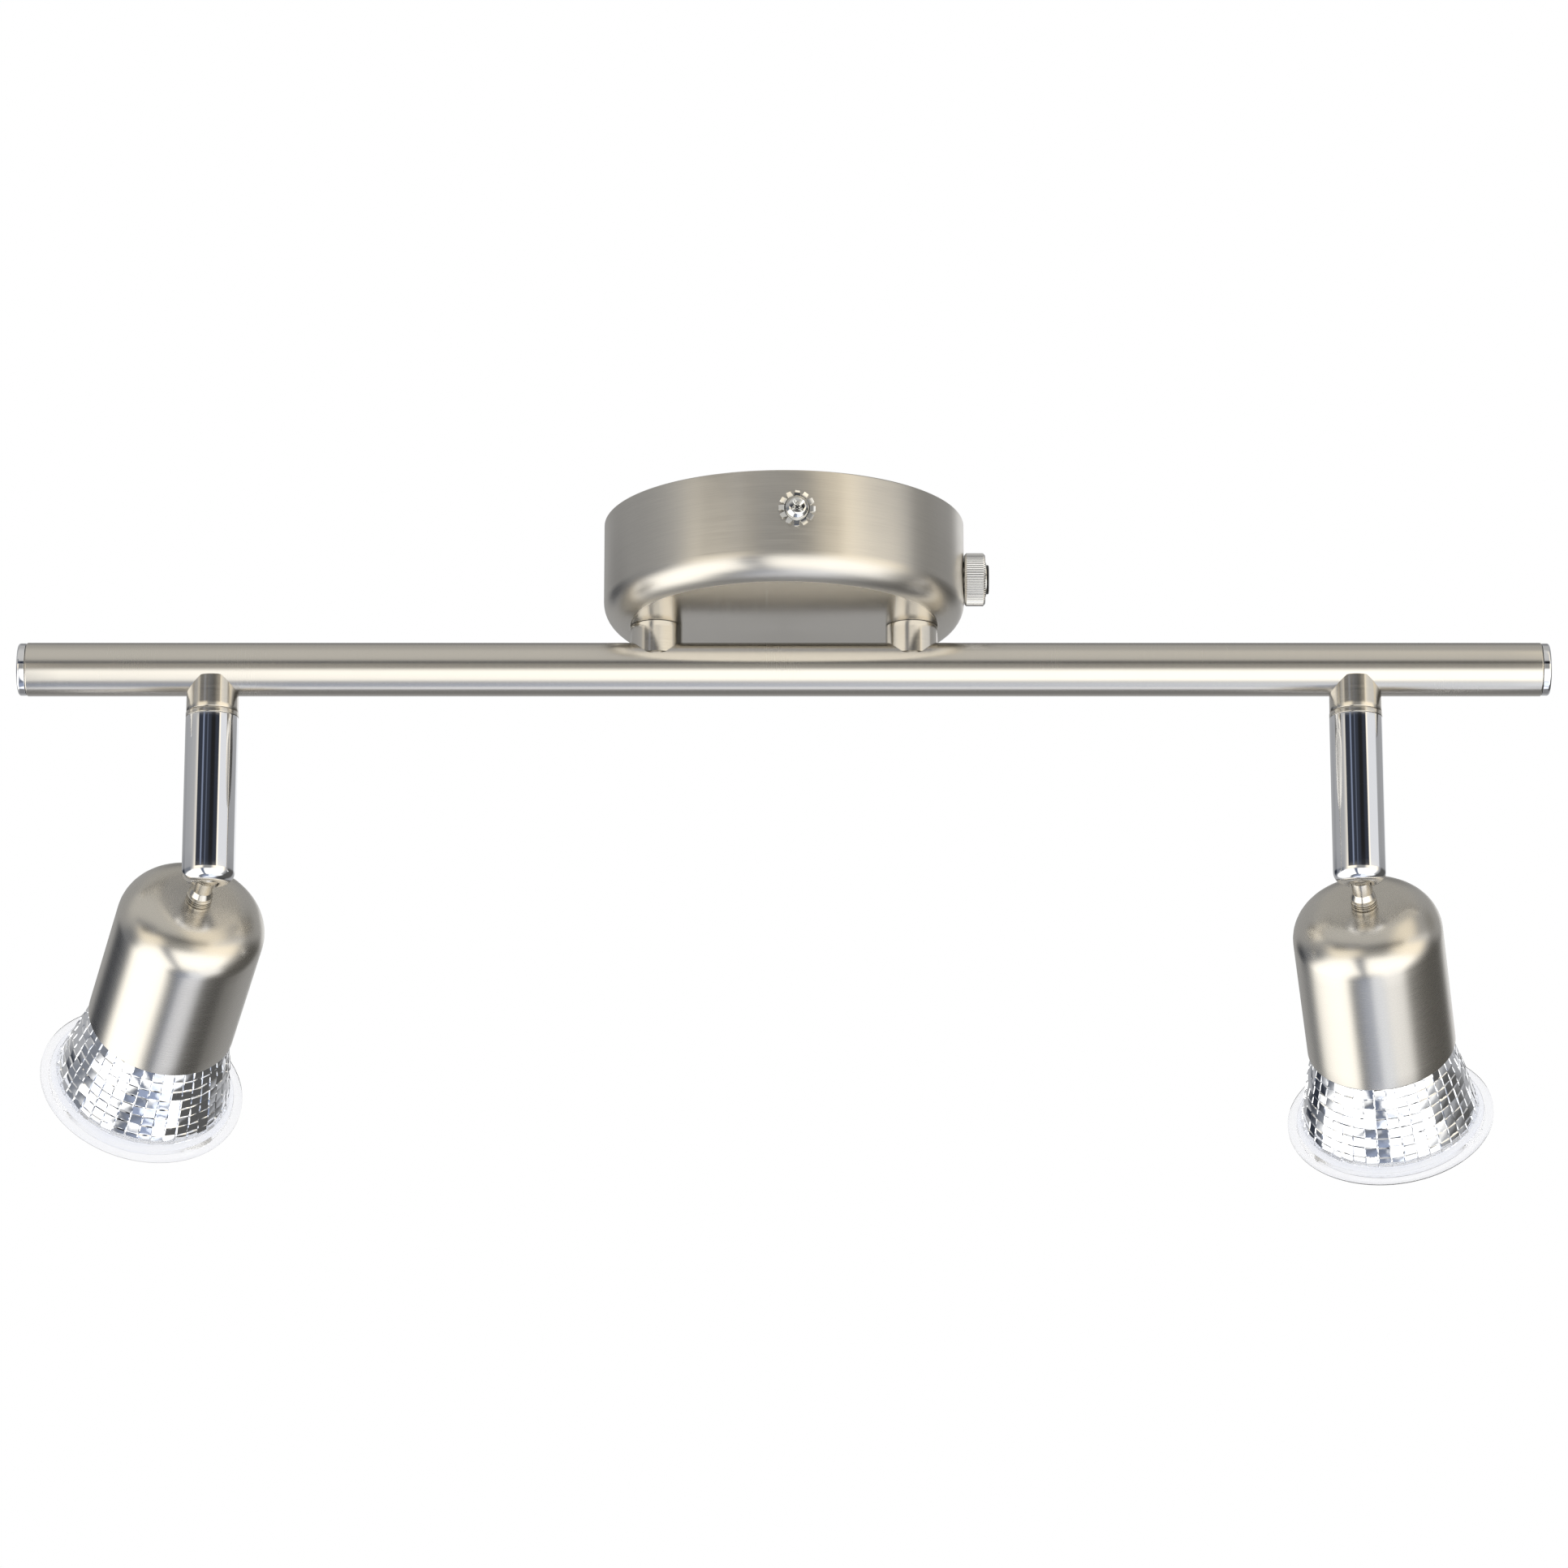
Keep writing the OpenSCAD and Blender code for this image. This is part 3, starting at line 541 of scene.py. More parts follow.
canopy_low, canopy_high = (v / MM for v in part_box("canopy"))
CANOPY_R = (canopy_high.x - canopy_low.x) / 2
CANOPY_H = -canopy_low.z
CANOPY_WALL = 1.0
CANOPY_CORNER = 6.0

bar_low, bar_high = (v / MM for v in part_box("bar_tube"))
BAR_R = (bar_high.z - bar_low.z) / 2
BAR_Z = (bar_high.z + bar_low.z) / 2
BAR_END = bar_high.x
BAR_WALL = 0.8
CAP_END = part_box("end_cap_right")[1].x / MM

post_low, post_high = (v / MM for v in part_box("post_right"))
POST_R = (post_high.x - post_low.x) / 2
POST_X = (post_high.x + post_low.x) / 2
SADDLE_STOP = post_low.z - BAR_Z

PIVOT = Vector(joints["arm_pan_right"]["pos_m"]) / MM
ARM_X = PIVOT.x
ARM_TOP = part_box("arm_tube_right")[1].z / MM - PIVOT.z
arm_low, arm_high = (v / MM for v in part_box("swivel_rings"))
ARM_R = (arm_high.y - arm_low.y) / 2
RING_LOW, RING_HIGH = arm_low.z, arm_high.z

# ---- Canopy ----


def make_canopy():
    """Deep-drawn cup, whose lower face is polished inside a shallow ledge."""
    ledge = 0.14
    face_r = CANOPY_R - CANOPY_CORNER
    inner_r = CANOPY_R - CANOPY_WALL
    outline = [
        (CANOPY_R, 0, 0.35),
        (CANOPY_R, -CANOPY_H, CANOPY_CORNER),
        (face_r - 0.35, -CANOPY_H, 0.1),
        (face_r - 0.6, -CANOPY_H + ledge, 0.1),
        (0, -CANOPY_H + ledge),
        (0, -CANOPY_H + CANOPY_WALL),
        (inner_r, -CANOPY_H + CANOPY_WALL, CANOPY_CORNER - CANOPY_WALL),
        (inner_r, 0, 0.2),
    ]
    piece = lathe("canopy_cup", fillet(outline), "nickel_brushed", steps=FINE_STEPS)
    piece.data.materials.append(MATERIALS["nickel_satin"])
    for polygon in piece.data.polygons:
        centre = polygon.center / MM
        if centre.z < -CANOPY_H + CANOPY_WALL * 0.6 and hypot(centre.x, centre.y) < face_r:
            polygon.material_index = 1
    finish_piece(piece, "root", ["canopy"])


# ---- Bar, end caps, posts and saddles ----


def make_bar():
    """Open tube, divided along its length."""
    inner_r = BAR_R - BAR_WALL
    outline = [
        (BAR_R, -BAR_END, 0.35), (BAR_R, BAR_END, 0.35),
        (inner_r, BAR_END, 0.2), (inner_r, -BAR_END, 0.2),
    ]
    ring_spacing = 8
    matrix = Matrix.Translation((0, 0, BAR_Z * MM)) @ UP_TO_X
    finish_piece(lathe("bar_tube_body", divided(fillet(outline), ring_spacing), "nickel_bar"),
                 "root", ["bar_tube"], matrix)


def make_end_cap(side):
    """Turned cap: a plug in the tube, a thin neck, and a slightly crowned rounded face."""
    cap_r = BAR_R - 0.15
    plug_r = BAR_R - BAR_WALL - 0.05
    plug_depth = 6
    crown = CAP_END - BAR_END
    outline = [
        (0, crown), (cap_r - 1.6, crown - 0.06), (cap_r, crown - 0.2, 0.65), (cap_r, 0.1, 0.12),
        (cap_r - 0.5, 0.05), (plug_r, 0.04), (plug_r, -plug_depth, 0.3), (0, -plug_depth),
    ]
    turn = Matrix.Rotation(radians(90 * SIDES[side]), 4, "Y")
    matrix = Matrix.Translation((SIDES[side] * BAR_END * MM, 0, BAR_Z * MM)) @ turn
    piece = lathe("end_cap_face_" + side, fillet(outline), "chrome")
    finish_piece(piece, "root", ["end_cap_" + side], matrix)


NIPPLE_HOLE_R = 4.03  # of the posts, saddles and swivel rings, which nipples pass through


def saddle_height(y):
    """Height above the bar's axis of a saddle's edge over the point y, in millimetres."""
    gap = 0.03
    return max(SADDLE_STOP, sqrt(max(0, (BAR_R + gap) ** 2 - y * y)))


def saddle_column(reach):
    """Round column from the saddle cut up to reach above the bar's axis, as (vertices, faces).

    Each ring has its radius and its height: None on the saddle cut, a share of the way up from the
    cut to the chamfer, or a height in millimetres.
    """
    chamfer = 0.22
    steps = 192
    face_rings, wall_rings = 5, 6
    ring_step = (POST_R - NIPPLE_HOLE_R) / face_rings
    rings = [(NIPPLE_HOLE_R + ring_step * i, None) for i in range(face_rings + 1)]
    rings += [(POST_R, i / wall_rings) for i in range(1, wall_rings)]
    rings += [(POST_R, reach - chamfer), (POST_R - chamfer * 0.3, reach - chamfer * 0.3),
              (POST_R - chamfer, reach), (NIPPLE_HOLE_R, reach)]
    verts = []
    for r, level in rings:
        for k in range(steps):
            angle = TAU * k / steps
            x, y = r * cos(angle), r * sin(angle)
            low = saddle_height(y)
            if level is None:
                z = low
            elif level < 1:
                z = low + (reach - chamfer - low) * level
            else:
                z = level
            verts.append((x * MM, y * MM, z * MM))
    return verts, ring_faces(len(rings), steps, closed=True)


def make_post(side):
    sunk = 0.12
    verts, faces = saddle_column(-CANOPY_H - BAR_Z + sunk)
    matrix = Matrix.Translation((SIDES[side] * POST_X * MM, 0, BAR_Z * MM))
    finish_piece(build("post_column_" + side, verts, faces, "nickel_satin"),
                 "root", ["post_" + side], matrix)


def make_saddle(side):
    verts, faces = saddle_column(BAR_Z - RING_HIGH)
    matrix = Matrix.Translation((SIDES[side] * ARM_X * MM, 0, BAR_Z * MM)) @ Matrix.Rotation(pi, 4, "X")
    finish_piece(build("saddle_column_" + side, verts, faces, "nickel_satin"),
                 "root", ["saddle_" + side], matrix)


def make_swivel_ring(side):
    """Ring above an arm, with a lip that fits inside the saddle's outline."""
    height = RING_HIGH - RING_LOW
    lip_r = POST_R - 0.3
    outline = [
        (ARM_R, 0.0, 0.12), (ARM_R, height - 0.2, 0.12), (lip_r, height - 0.18),
        (lip_r, height), (NIPPLE_HOLE_R, height), (NIPPLE_HOLE_R, 0),
    ]
    matrix = Matrix.Translation((SIDES[side] * ARM_X * MM, 0, RING_LOW * MM))
    finish_piece(lathe("swivel_ring_" + side, fillet(outline), "nickel_satin"),
                 "root", ["swivel_rings"], matrix)


# ---- Side cable entry ----

nut_low, nut_high = (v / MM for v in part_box("knurled_nut"))
nipple_low, nipple_high = (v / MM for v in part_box("entry_nipple"))
bush_low, bush_high = (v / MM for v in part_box("entry_bush"))
ENTRY_Z = (nut_low.z + nut_high.z) / 2
ENTRY_FRAME = Matrix.Translation((0, 0, ENTRY_Z * MM)) @ UP_TO_X
NIPPLE_R = 4.35


def make_knurled_nut():
    """Straight knurl of 64 rounded ridges with a turned chamfer at both ends."""
    ridges = 64
    faces_per_ridge = 8
    depth = 0.34
    chamfer = 0.5
    nut_r = (nut_high.y - nut_low.y) / 2
    face_r = nut_r - chamfer - 0.05
    bore_r, bore_chamfer = NIPPLE_R + 0.05, 0.3
    fullness = 0.8

    def knurl(r, z, angle):
        wave = abs(sin(angle * ridges / 2)) ** fullness
        share = min(1, max(0, (r - face_r) / chamfer))
        return r - depth * (1 - wave) * share, z

    start, end = nut_low.x, nut_high.x
    outline = [
        (bore_r, start + bore_chamfer), (bore_r + bore_chamfer, start), (face_r, start, 0.05),
        (nut_r, start + chamfer, 0.12), (nut_r, end - chamfer, 0.12), (face_r, end, 0.05),
        (bore_r + bore_chamfer, end), (bore_r, end - bore_chamfer),
    ]
    piece = lathe("knurled_nut_body", fillet(outline), "nickel_knurl",
                  steps=ridges * faces_per_ridge, sharp=TURNED_SHARP, shape=knurl)
    finish_piece(piece, "root", ["knurled_nut"], ENTRY_FRAME)


def make_entry_nipple():
    """Threaded nipple with its flat, as one helix of rounded thread."""
    pitch = 0.9
    thread_depth = 0.28
    run_out = 0.5
    bore_r = 3.0
    flat_at = 3.7
    start, end = nipple_low.x, nipple_high.x
    rings = 150
    outline = [Vector((bore_r, start))]
    outline += [Vector((NIPPLE_R, start + (end - start) * i / rings)) for i in range(rings + 1)]
    outline += [Vector((bore_r + 0.4, end)), Vector((bore_r, end - 0.2))]

    def thread(r, z, angle):
        if r < NIPPLE_R - thread_depth:
            return r, z
        phase = (z / pitch - angle / TAU) % 1
        fade = min(1, (end - z) / run_out)
        crest = NIPPLE_R - thread_depth * (1 - fade * abs(2 * phase - 1))
        # The flat faces up, which is the local -X direction of the entry's frame
        if z > CANOPY_R + 1 and -crest * cos(angle) > flat_at:
            crest = flat_at / -cos(angle)
        return crest, z

    piece = lathe("entry_nipple_thread", outline, "screw_plate",
                  steps=SMALL_STEPS, sharp=TURNED_SHARP, shape=thread)
    finish_piece(piece, "root", ["entry_nipple"], ENTRY_FRAME)


def make_entry_bush():
    """Bush that lines the nipple, with a rounded flange over the nipple's end."""
    bore_r, sleeve_r = 2.2, 2.95
    flange_r = (bush_high.y - bush_low.y) / 2
    tip = nipple_high.x
    outline = [
        (bore_r, bush_low.x, 0.1), (sleeve_r, bush_low.x, 0.1), (sleeve_r, tip + 0.02),
        (flange_r, tip + 0.03, 0.12), (flange_r, bush_high.x, 0.3), (bore_r, bush_high.x, 0.3),
    ]
    finish_piece(lathe("entry_bush_body", fillet(outline), "black_plastic"),
                 "root", ["entry_bush"], ENTRY_FRAME)


# ---- Canopy screws and star washers ----

screws_low, screws_high = (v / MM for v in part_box("canopy_screws"))
SCREW_Z = (screws_high.z + screws_low.z) / 2
BRACKET_TURN = radians(4)
SCREW_ENDS = {"front": -1, "back": 1}
RECESS_TURN = {"front": radians(38), "back": radians(70)}


def screw_frame(end):
    """Frame of one canopy screw: origin on the canopy wall, +Z outward."""
    way = SCREW_ENDS[end]
    place = Matrix.Translation((0, way * CANOPY_R * MM, SCREW_Z * MM))
    return Matrix.Rotation(BRACKET_TURN, 4, "Z") @ place @ Matrix.Rotation(-way * pi / 2, 4, "X")


def pan_head(head_r, head_h, seat, shank_r, shank_end):
    """Outline of a pan-head screw with a rolled edge, in millimetres."""
    return fillet([
        (0, seat + head_h), (head_r * 0.70, seat + head_h * 0.95, 0.8),
        (head_r, seat + head_h * 0.42, 0.55), (head_r, seat, 0.2),
        (shank_r, seat), (shank_r, shank_end, 0.3), (0, shank_end),
    ])


def cross_cutter(reach, top, depth):
    """Tapered four-winged recess of a cross-head screw, for cutting only."""
    wing = reach * 0.17
    core = reach * 0.36
    plan = []
    for quarter in range(4):
        turn = Matrix.Rotation(quarter * pi / 2, 2)
        for x, y in ((core, -core * 0.8), (reach, -wing), (reach, wing), (core, core * 0.8)):
            plan.append(turn @ Vector((x, y)))
    # Heights and the plan's size at each, from the tip to above the head
    levels = [(top - depth, 0.32), (top - depth * 0.65, 0.62), (top, 1.0), (top + 1, 1.25)]
    verts = [(p.x * share * MM, p.y * share * MM, z * MM) for z, share in levels for p in plan]
    count = len(plan)
    last = (len(levels) - 1) * count
    faces = [list(range(count)), [last + i for i in reversed(range(count))]]
    return build("cutter", verts, faces + ring_faces(len(levels), count), "zinc")


def make_canopy_screw(end):
    head_r, head_h, seat = 2.75, 2.0, 0.56
    shank_r, shank_end = 1.5, -5.0
    recess_reach, recess_depth = 2.05, 1.35
    piece = lathe("canopy_screw_" + end, pan_head(head_r, head_h, seat, shank_r, shank_end),
                  "screw_plate", steps=SMALL_STEPS)
    cut(piece, cross_cutter(recess_reach, seat + head_h, recess_depth))
    turn = Matrix.Rotation(RECESS_TURN[end], 4, "Z")
    finish_piece(piece, "root", ["canopy_screws"], screw_frame(end) @ turn)


def make_star_washer(end):
    """External-tooth lock washer: a flat ring with twelve twisted teeth."""
    teeth = 12
    thickness = 0.48
    seat = 0.05
    bore_r, root_r, tip_r = 1.65, 3.0, 4.3
    tooth_start = root_r - 0.25
    tooth_t = thickness * 0.8
    tooth_twist = radians(34)
    middle = 0.27
    top = seat + thickness
    ring = [Vector(point) for point in ((bore_r, seat), (root_r, seat), (root_r, top), (bore_r, top))]
    parts = [(*revolve(ring, SMALL_STEPS), Matrix.Identity(4))]
    shares = (0, 0.35, 0.7, 1.0)
    corners = ((-1, -0.5), (1, -0.5), (1, 0.5), (-1, 0.5))
    verts = []
    for share in shares:
        r = tooth_start + (tip_r - tooth_start) * share
        twist = tooth_twist * min(1, share * 1.4)
        half = 0.74 - 0.06 * share
        for edge, level in corners:
            across = edge * half * cos(twist) - level * tooth_t * sin(twist)
            up = middle + edge * half * sin(twist) * 0.5 + level * tooth_t
            verts.append(Vector((r, across, up)) * MM)
    faces = [(0, 3, 2, 1), (12, 13, 14, 15)] + ring_faces(len(shares), len(corners))
    for i in range(teeth):
        parts.append((verts, faces, Matrix.Rotation(TAU * i / teeth, 4, "Z")))
    piece = joined("star_washer_" + end, parts, "screw_plate", sharp=25)
    finish_piece(piece, "root", ["star_washers"], screw_frame(end))


# ---- Arms and ball studs ----

ARM_FOOT, ARM_CORNER = 3.75, 3.0
ARM_BORE_R, ARM_BORE_START = 5.5, 2.3
ARM_CAP = 2.5  # thickness of the arm's closed top
SEAT_R = 4.25
SLOT_HALF = 2.7


def make_arm(side):
    """Chromed tube with a rounded flat end, slotted so that the stud can tilt from down to level."""
    rings_from, rings_to, rings = 4, ARM_TOP - 2, 12
    nipple_hole_r = 4.05
    seat_mouth = degrees(acos(SLOT_HALF / SEAT_R))
    seat_start = degrees(asin(ARM_BORE_START / SEAT_R))
    outline = fillet([
        (SLOT_HALF, -sqrt(SEAT_R ** 2 - SLOT_HALF ** 2) + 0.1), (SLOT_HALF, -ARM_FOOT, 0.15),
        (ARM_R, -ARM_FOOT, ARM_CORNER), (ARM_R, rings_from),
    ])[1:]
    for i in range(1, rings):
        outline.append(Vector((ARM_R, rings_from + (rings_to - rings_from) * i / rings)))
    cap_low = ARM_TOP - ARM_CAP
    outline += fillet([
        (ARM_R, rings_to), (ARM_R, ARM_TOP, 0.22), (nipple_hole_r, ARM_TOP), (nipple_hole_r, cap_low),
        (ARM_BORE_R, cap_low), (ARM_BORE_R, ARM_BORE_START),
    ])
    outline += arc((0, 0), SEAT_R, seat_start, -seat_mouth)
    piece = lathe("arm_body_" + side, outline, "chrome", steps=MIDDLE_STEPS)
    # The slot is a slab from straight down to level, with a round end at level
    reach = ARM_R + 1
    round_r, slab_half, slab_t = SLOT_HALF - 0.002, SLOT_HALF - 0.001, 0.005
    plan = [Vector(point) for point in ((0, 0), (round_r, 0), (round_r, reach), (0, reach))]
    level = lathe("cutter", plan, "zinc", steps=64)
    level.matrix_world = Matrix.Rotation(-pi / 2, 4, "X")
    slab = box_cutter((-slab_half, -slab_t, -reach - 0.1), (slab_half, reach + 0.1, slab_t))
    cut(piece, slab, level)
    finish_piece(piece, "arm_" + side, ["arm_tube_" + side], arm_frame(side))


# Heights of a shell and of the lamp in it are along the head's axis from the ball's centre
SHELL_R, SHELL_WALL = 17.85, 0.7
SHELL_TOP, SHELL_LIP = 10.8, 53.0
SHELL_CORNER = 9.2


def make_ball_stud(side):
    """Ball, tapered neck, a collar with two fine grooves, and the threaded end in the shell."""
    ball_r, neck_r, stud_r, collar_r, thread_r, bore_r = 4.2, 2.45, 2.95, 3.1, 2.4, 1.7
    bore_mouth_r = 2.5
    seat = SHELL_TOP - 0.03
    thread_end = 15.4
    neck = degrees(acos(neck_r / ball_r))
    mouth = degrees(acos(bore_mouth_r / ball_r))
    groove_r = collar_r - 0.3
    outline = arc((0, 0), ball_r, -mouth, neck, 40)
    outline += fillet([
        (neck_r, 4), (neck_r, 6.8, 0.8), (stud_r, 8.2, 0.3), (stud_r, 8.8), (collar_r, 8.9, 0.05),
        (collar_r, 9.2), (groove_r, 9.22), (groove_r, 9.38), (collar_r, 9.4),
        (collar_r, 9.75), (groove_r, 9.77), (groove_r, 9.93), (collar_r, 9.95),
        (collar_r, seat, 0.35), (thread_r, seat), (thread_r, thread_end, 0.3),
        (bore_r, thread_end, 0.2), (bore_r, -2.9),
    ])
    finish_piece(lathe("ball_stud_body_" + side, outline, "nickel_satin", steps=SMALL_STEPS, sharp=30),
                 "head_" + side, ["ball_stud_" + side], head_frame(side))


# ---- Head shells ----


def make_shell(side):
    """Bell of thin sheet, open at the lip, with a hole for the stud in its crown."""
    hole_r = 2.45
    inner_r, inner_top = SHELL_R - SHELL_WALL, SHELL_TOP + SHELL_WALL
    outline = fillet([
        (hole_r, SHELL_TOP, 0.1), (SHELL_R, SHELL_TOP, SHELL_CORNER), (SHELL_R, SHELL_LIP, 0.4),
        (inner_r, SHELL_LIP, 0.4), (inner_r, inner_top, SHELL_CORNER - SHELL_WALL), (hole_r, inner_top),
    ])
    ring_spacing = 3
    piece = lathe("shell_body_" + side, divided(outline, ring_spacing), "nickel_shell", steps=FINE_STEPS)
    finish_piece(piece, "head_" + side, ["head_shell_" + side], head_frame(side))


# ---- Lamps ----

BOWL_START, FLANGE_START, LAMP_FRONT = 36.0, 73.6, 76.6
BOWL_BACK_R, BOWL_FRONT_R, BOWL_WALL = 11.75, 21.8, 1.2
LAMP_R = 25.0
LENS_SEAT_R = 22.7
FACET_COLUMNS = 42
FACET_ROWS = 15
# Share of a facet's half width that its face takes, and share of the face before its edge rolls over
FACET_RIM, FACET_SHOULDER = 0.86, 0.93


def bowl_radius(z):
    """Radius of the bowl's parabola at a distance along the lamp's axis."""
    part = (z - BOWL_START) / (FLANGE_START - BOWL_START)
    return sqrt(BOWL_BACK_R ** 2 + (BOWL_FRONT_R ** 2 - BOWL_BACK_R ** 2) * part)


def facet_skin(offset, pillow, groove, tilt, seed, inward):
    """Bowl surface of pillowed facets with a groove round each, as (vertices, faces).

    The groove takes the outer steps of each facet; tilt is how far facets may lean, in millimetres
    at their edge.
    """
    draw = random.Random(seed)
    rim = FACET_RIM
    right = [rim * 0.5, rim * FACET_SHOULDER, rim, 1]
    steps = [-step for step in reversed(right)] + [0] + right
    half = pi / FACET_COLUMNS
    verts, faces = [], []
    for row in range(FACET_ROWS):
        for column in range(FACET_COLUMNS):
            lean, roll = draw.uniform(-tilt, tilt), draw.uniform(-tilt, tilt)
            start = len(verts)
            for u in steps:
                for v in steps:
                    z = BOWL_START + (FLANGE_START - BOWL_START) * (row + (u + 1) / 2) / FACET_ROWS
                    angle = TAU * (column + (v + 1) / 2) / FACET_COLUMNS
                    if max(abs(u), abs(v)) == 1:
                        height = -groove
                    else:
                        crown = pillow * (1 - (u / rim) ** 2) * (1 - (v / rim) ** 2)
                        height = crown + lean * u + roll * v
                    # Chords between the facet's sides, so that each facet starts out flat
                    flat = cos(half) / cos(half * v)
                    r = (bowl_radius(z) + offset) * flat + (-height if inward else height)
                    verts.append((r * cos(angle) * MM, r * sin(angle) * MM, z * MM))
            across = len(steps)
            for i in range(across - 1):
                for j in range(across - 1):
                    a = start + i * across + j
                    faces.append((a, a + 1, a + across + 1, a + across))
    return verts, faces


def make_bowl(side):
    """Mirrored facetted bowl: outer and inner skins closed at the neck and at the flange."""
    outer_sink, edge_sink = 0.32, 0.4
    parts = [
        facet_skin(-outer_sink, pillow=0.04, groove=0.17, tilt=0.17, seed=11, inward=False),
        facet_skin(-BOWL_WALL, pillow=0.05, groove=0.08, tilt=0.03, seed=12, inward=True),
    ]
    for z in (BOWL_START, FLANGE_START):
        r = bowl_radius(z)
        edge = [Vector((r - BOWL_WALL, z)), Vector((r - edge_sink, z))]
        parts.append(revolve(edge, FACET_COLUMNS, closed=False))
    parts = [(*part, Matrix.Identity(4)) for part in parts]
    piece = joined("lamp_bowl_facets_" + side, parts, "mirrored_glass", sharp=14)
    finish_piece(piece, "lamp_" + side, ["lamp_bowl_" + side], lamp_frame(side))


def make_flange(side):
    """Pressed glass rim of the lamp, with a soft step behind it and a seat for the front lens."""
    inner_r = BOWL_FRONT_R - BOWL_WALL
    seat = LAMP_FRONT - 2.0
    outline = [
        (BOWL_FRONT_R - 0.35, FLANGE_START - 1.1, 0.1), (BOWL_FRONT_R + 0.3, FLANGE_START, 0.7),
        (LAMP_R - 1.1, FLANGE_START + 0.35, 0.5), (LAMP_R, FLANGE_START + 1.2, 0.5),
        (LAMP_R, LAMP_FRONT, 0.7), (LENS_SEAT_R, LAMP_FRONT, 0.15),
        (LENS_SEAT_R, seat), (inner_r, seat, 0.1), (inner_r, FLANGE_START - 0.5, 0.1),
    ]
    finish_piece(lathe("lamp_flange_" + side, fillet(outline), "pressed_glass", steps=MIDDLE_STEPS),
                 "lamp_" + side, ["lamp_bowl_" + side], lamp_frame(side))


def make_lens(side):
    """Front lens with a rounded edge and fine pressed rings inside."""
    back, front, lens_r = LAMP_FRONT - 1.95, LAMP_FRONT - 0.35, LENS_SEAT_R - 0.1
    rings, ring_depth = 14, 0.18
    rings_r = lens_r - 1
    outline = [Vector((0, front))]
    outline += fillet([
        (0, front - 0.001), (lens_r, front, 0.3), (lens_r, back, 0.3), (lens_r - 0.7, back),
    ])[1:]
    for i in range(rings):
        r = rings_r * (1 - i / rings)
        outline += [Vector((r, back)), Vector((r - rings_r / rings / 2, back + ring_depth))]
    outline.append(Vector((0, back)))
    piece = lathe("lamp_lens_disc_" + side, outline, "clear_glass", steps=MIDDLE_STEPS, closed=False)
    finish_piece(piece, "lamp_" + side, ["lamp_lens_" + side], lamp_frame(side))


def make_led_board(side):
    """Round board with a raised ring round its domed phosphor disc."""
    board_r, ring_r, disc_r = 10.2, 6.0, 4.65
    base = BOWL_START + 0.03
    top = BOWL_START + 1.2
    well = top + 0.1
    board = fillet([
        (0, base), (board_r, base, 0.15), (board_r, top, 0.2), (ring_r, top), (ring_r, top + 0.25, 0.1),
        (disc_r + 0.35, top + 0.35, 0.1), (disc_r + 0.05, well), (0, well),
    ])
    disc = fillet([
        (0, well + 0.02), (disc_r, well + 0.02), (disc_r, well + 0.3, 0.2), (0, well + 0.45),
    ])
    layers = (("led_board_disc_", board, "board_white"), ("led_phosphor_", disc, "phosphor"))
    for name, layer, material in layers:
        finish_piece(lathe(name + side, layer, material, steps=SMALL_STEPS),
                     "lamp_" + side, ["led_board_" + side], lamp_frame(side))


# ---- All the pieces ----

make_canopy()
make_bar()
make_knurled_nut()
make_entry_nipple()
make_entry_bush()
for end in SCREW_ENDS:
    make_canopy_screw(end)
for end in SCREW_ENDS:
    make_star_washer(end)
for side in SIDES:
    make_end_cap(side)
    make_post(side)
    make_saddle(side)
    make_swivel_ring(side)
    make_arm(side)
    make_ball_stud(side)
    make_shell(side)
    make_bowl(side)
    make_flange(side)
    make_lens(side)
    make_led_board(side)

# ---- Materials of the CAD nodes that stay ----

NODE_MATERIALS = {
    "zinc": ["ceiling_bracket", "terminal_screws", "entry_locknut", "post_nipples", "post_nuts",
             "swivel_nipples", "swivel_nuts", "stud_nut", "holder_bracket", "holder_screws",
             "lamp_pins"],
    "spring_steel": ["disc_springs"],
    "brass": ["earth_screw", "terminal_inserts", "swivel_washers", "pressure_cup"],
    "ivory_plastic": ["terminal_block"],
    "brown_wire": ["live_leads"],
    "blue_wire": ["neutral_leads"],
    "green_wire": ["earth_lead"],
    "silicone_wire": ["arm_leads", "head_leads"],
    "porcelain": ["lampholder", "lamp_base"],
}
for material, stems in NODE_MATERIALS.items():
    for stem in stems:
        for name in (stem, stem + "_left", stem + "_right"):
            if name in frame["nodes"]:
                mesh = frame["nodes"][name].data
                mesh.materials.clear()
                mesh.materials.append(MATERIALS[material])

# ---- Floor, world and lights ----


def make_floor():
    """Large pale floor, well below the fixture."""
    half = 9.0
    corners = [(x * half, y * half, FLOOR_Z) for x, y in ((-1, -1), (1, -1), (1, 1), (-1, 1))]
    mesh = bpy.data.meshes.new("floor")
    mesh.from_pydata(corners, [], [(0, 1, 2, 3)])
    material, graph, sockets = new_material("floor_paint")
    mottle = graph.noise(graph.position(), 3, 2.0, 0.5)
    feed(graph, sockets, {
        "Base Color": graph.mix(mottle, (0.90, 0.90, 0.89), (0.93, 0.93, 0.92)), "Roughness": 0.8})
    mesh.materials.append(material)
    floor = bpy.data.objects.new("floor", mesh)
    scene.collection.objects.link(floor)
    floor.visible_glossy = False


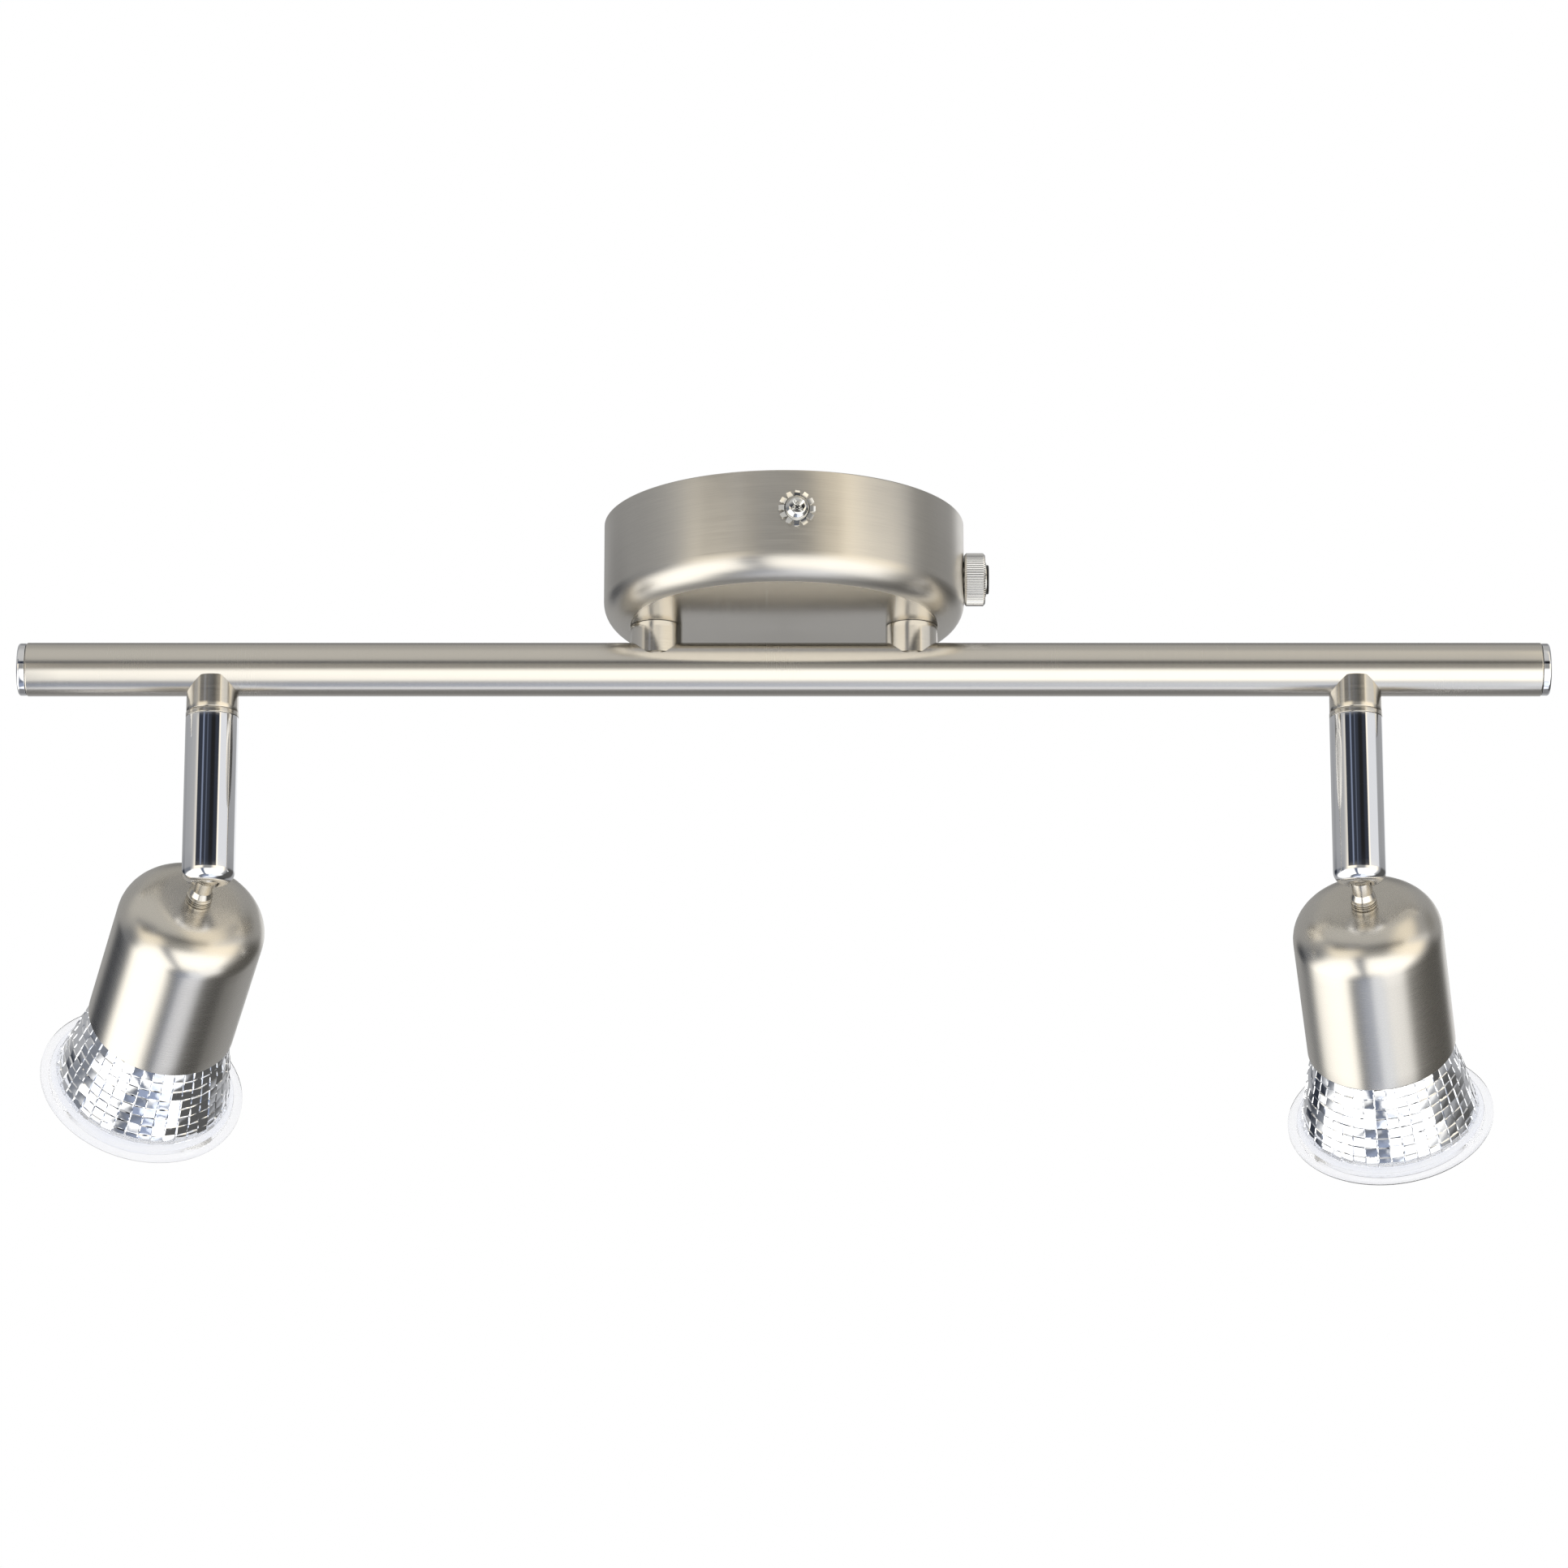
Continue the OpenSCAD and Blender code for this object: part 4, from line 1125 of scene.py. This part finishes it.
# The studio that the metal mirrors, from back to front. Each soft-edged panel is given by its
# compass direction (0 towards the camera's side, 90 towards +X), its elevation, half its width
# and half its height in degrees, the softness of its edge, its brightness and its colour.
WARM, CREAM, NEUTRAL = (1.02, 1, 0.95), (1.1, 1, 0.82), (1, 1, 1)
COOL, PALE_BLUE, BLUE = (0.95, 1, 1.1), (0.97, 0.99, 1.06), (0.85, 0.98, 1.3)
ROOM_LEVEL = 0.44
STUDIO = {
    "ceiling": (0, 88, 180, 22, 14, 0.50, WARM),
    "front_wall": (-30, 52, 62, 30, 16, 0.66, WARM),
    "back_wall_low": (180, -50, 30, 24, 12, 0.26, NEUTRAL),
    "back_wall_high": (176, 52, 20, 12, 10, 0.26, NEUTRAL),
    "floor_sweep": (-28, -40, 106, 28, 11, 1.95, WARM),
    "sweep_edge": (-80, -72, 66, 7, 5, 0.18, COOL),
    "left_curtain": (-110, -2, 34, 12, 7, 0.24, COOL),
    "left_curtain_fold": (-132, 3, 12, 9, 6, 0.04, BLUE),
    "left_window": (-38, 2, 24, 14, 10, 1.30, CREAM),
    "right_window": (38, 28, 18, 38, 9, 1.10, CREAM),
    "right_window_low": (56, 0, 24, 16, 10, 1.45, CREAM),
    "right_curtain": (119, -28, 24, 38, 8, 0.11, WARM),
    "right_curtain_high": (98, 34, 14, 14, 10, 0.30, WARM),
    "right_curtain_back": (146, -52, 10, 14, 6, 0.07, NEUTRAL),
    "back_window": (162, 18, 18, 9, 5, 1.00, NEUTRAL),
    "camera_side_low": (0, -2, 18, 12, 8, 0.34, WARM),
    "camera_side": (-8, 15.2, 46, 5.5, 2.5, 0.05, BLUE),
    "camera_gleam": (-30, 15.2, 3, 5, 2.5, 0.34, BLUE),
    "camera_gleam_narrow": (-12, 15.2, 2, 5, 2, 0.16, BLUE),
    "camera_gleam_dark": (12, 15.2, 9, 5, 5, 0.02, NEUTRAL),
    "camera_gleam_right": (66, 15.2, 22, 5, 3, 0.90, NEUTRAL),
    "camera_side_left": (-42, 25, 22, 4, 4, 0.24, COOL),
    "tripod": (-22, -40, 8, 30, 6, 0.22, BLUE),
    "underside": (0, -90, 180, 15, 10, 0.42, BLUE),
    "underside_panel": (180, -76, 40, 8, 5, 1.35, PALE_BLUE),
    "reflector": (74, -60, 26, 14, 7, 1.60, NEUTRAL),
    "reflector_low": (70, -80, 60, 9, 5, 1.25, COOL),
}


def make_world():
    """The studio as mirrored and as light; the camera and clear glass see plain white."""
    world = bpy.data.worlds.new("studio")
    scene.world = world
    world.use_nodes = True
    graph = Graph(world.node_tree)
    direction = graph.add("ShaderNodeTexCoord").outputs["Generated"]
    x, y, z = graph.xyz(direction)[:3]
    compass = graph.math("ARCTAN2", x, graph.math("MULTIPLY", y, -1.0))
    elevation = graph.math("ARCSINE", z)

    def panel_mask(azimuth, height, half_width, half_height, edge):
        """1 inside a panel and 0 outside; a half width of 180 degrees goes all the way round."""
        away = graph.math("WRAP", graph.math("SUBTRACT", compass, radians(azimuth)), pi, -pi)
        across = graph.math("ABSOLUTE", away)
        above = graph.math("ABSOLUTE", graph.math("SUBTRACT", elevation, radians(height)))
        inside = 1.0
        for distance, half in ((across, half_width), (above, half_height)):
            if half < 180:
                share = graph.remap(distance, radians(half - edge), radians(half + edge), 1, 0)
                inside = graph.math("MULTIPLY", inside, share)
        return inside

    light = (ROOM_LEVEL,) * 3
    for *place, level, tint in STUDIO.values():
        mask = panel_mask(*place)
        light = graph.mix(mask, light, tuple(level * share for share in tint))
    path = graph.add("ShaderNodeLightPath").outputs
    seen = graph.math("MAXIMUM", path["Is Camera Ray"], path["Is Transmission Ray"])
    studio_light = graph.add("ShaderNodeBackground", {"Color": light, "Strength": 1.0})
    white = graph.add("ShaderNodeBackground", {"Color": (1, 1, 1, 1), "Strength": 1.0})
    mixed = graph.add("ShaderNodeMixShader", {0: seen, 1: studio_light.outputs[0], 2: white.outputs[0]})
    graph.add("ShaderNodeOutputWorld", {0: mixed.outputs[0]})


def make_softbox(name, place, aim, size, power, colour=NEUTRAL):
    """Area light that metal doesn't mirror: place, aim and size in metres, power in watts."""
    light = bpy.data.lights.new(name, "AREA")
    light.shape = "RECTANGLE"
    light.size, light.size_y = size
    light.energy = power
    light.color = colour
    lamp = bpy.data.objects.new(name, light)
    lamp.location = place
    lamp.rotation_euler = (Vector(aim) - Vector(place)).to_track_quat("-Z", "Y").to_euler()
    scene.collection.objects.link(lamp)
    lamp.visible_glossy = False
    return lamp


make_floor()
make_world()
FIXTURE_MIDDLE = (0, 0, -0.07)
make_softbox("key_light", (-1.1, -1.3, 0.5), FIXTURE_MIDDLE, (0.9, 1.1), 5, (1.0, 0.98, 0.95))
make_softbox("fill_light", (1.3, -1.0, 0.35), FIXTURE_MIDDLE, (0.8, 1.1), 4, (1.0, 0.985, 0.96))
floor_light = make_softbox("floor_light", (0, 0, FLOOR_Z + 0.6), (0, 0, FLOOR_Z), (9, 9), 95)
floor_light.visible_camera = False
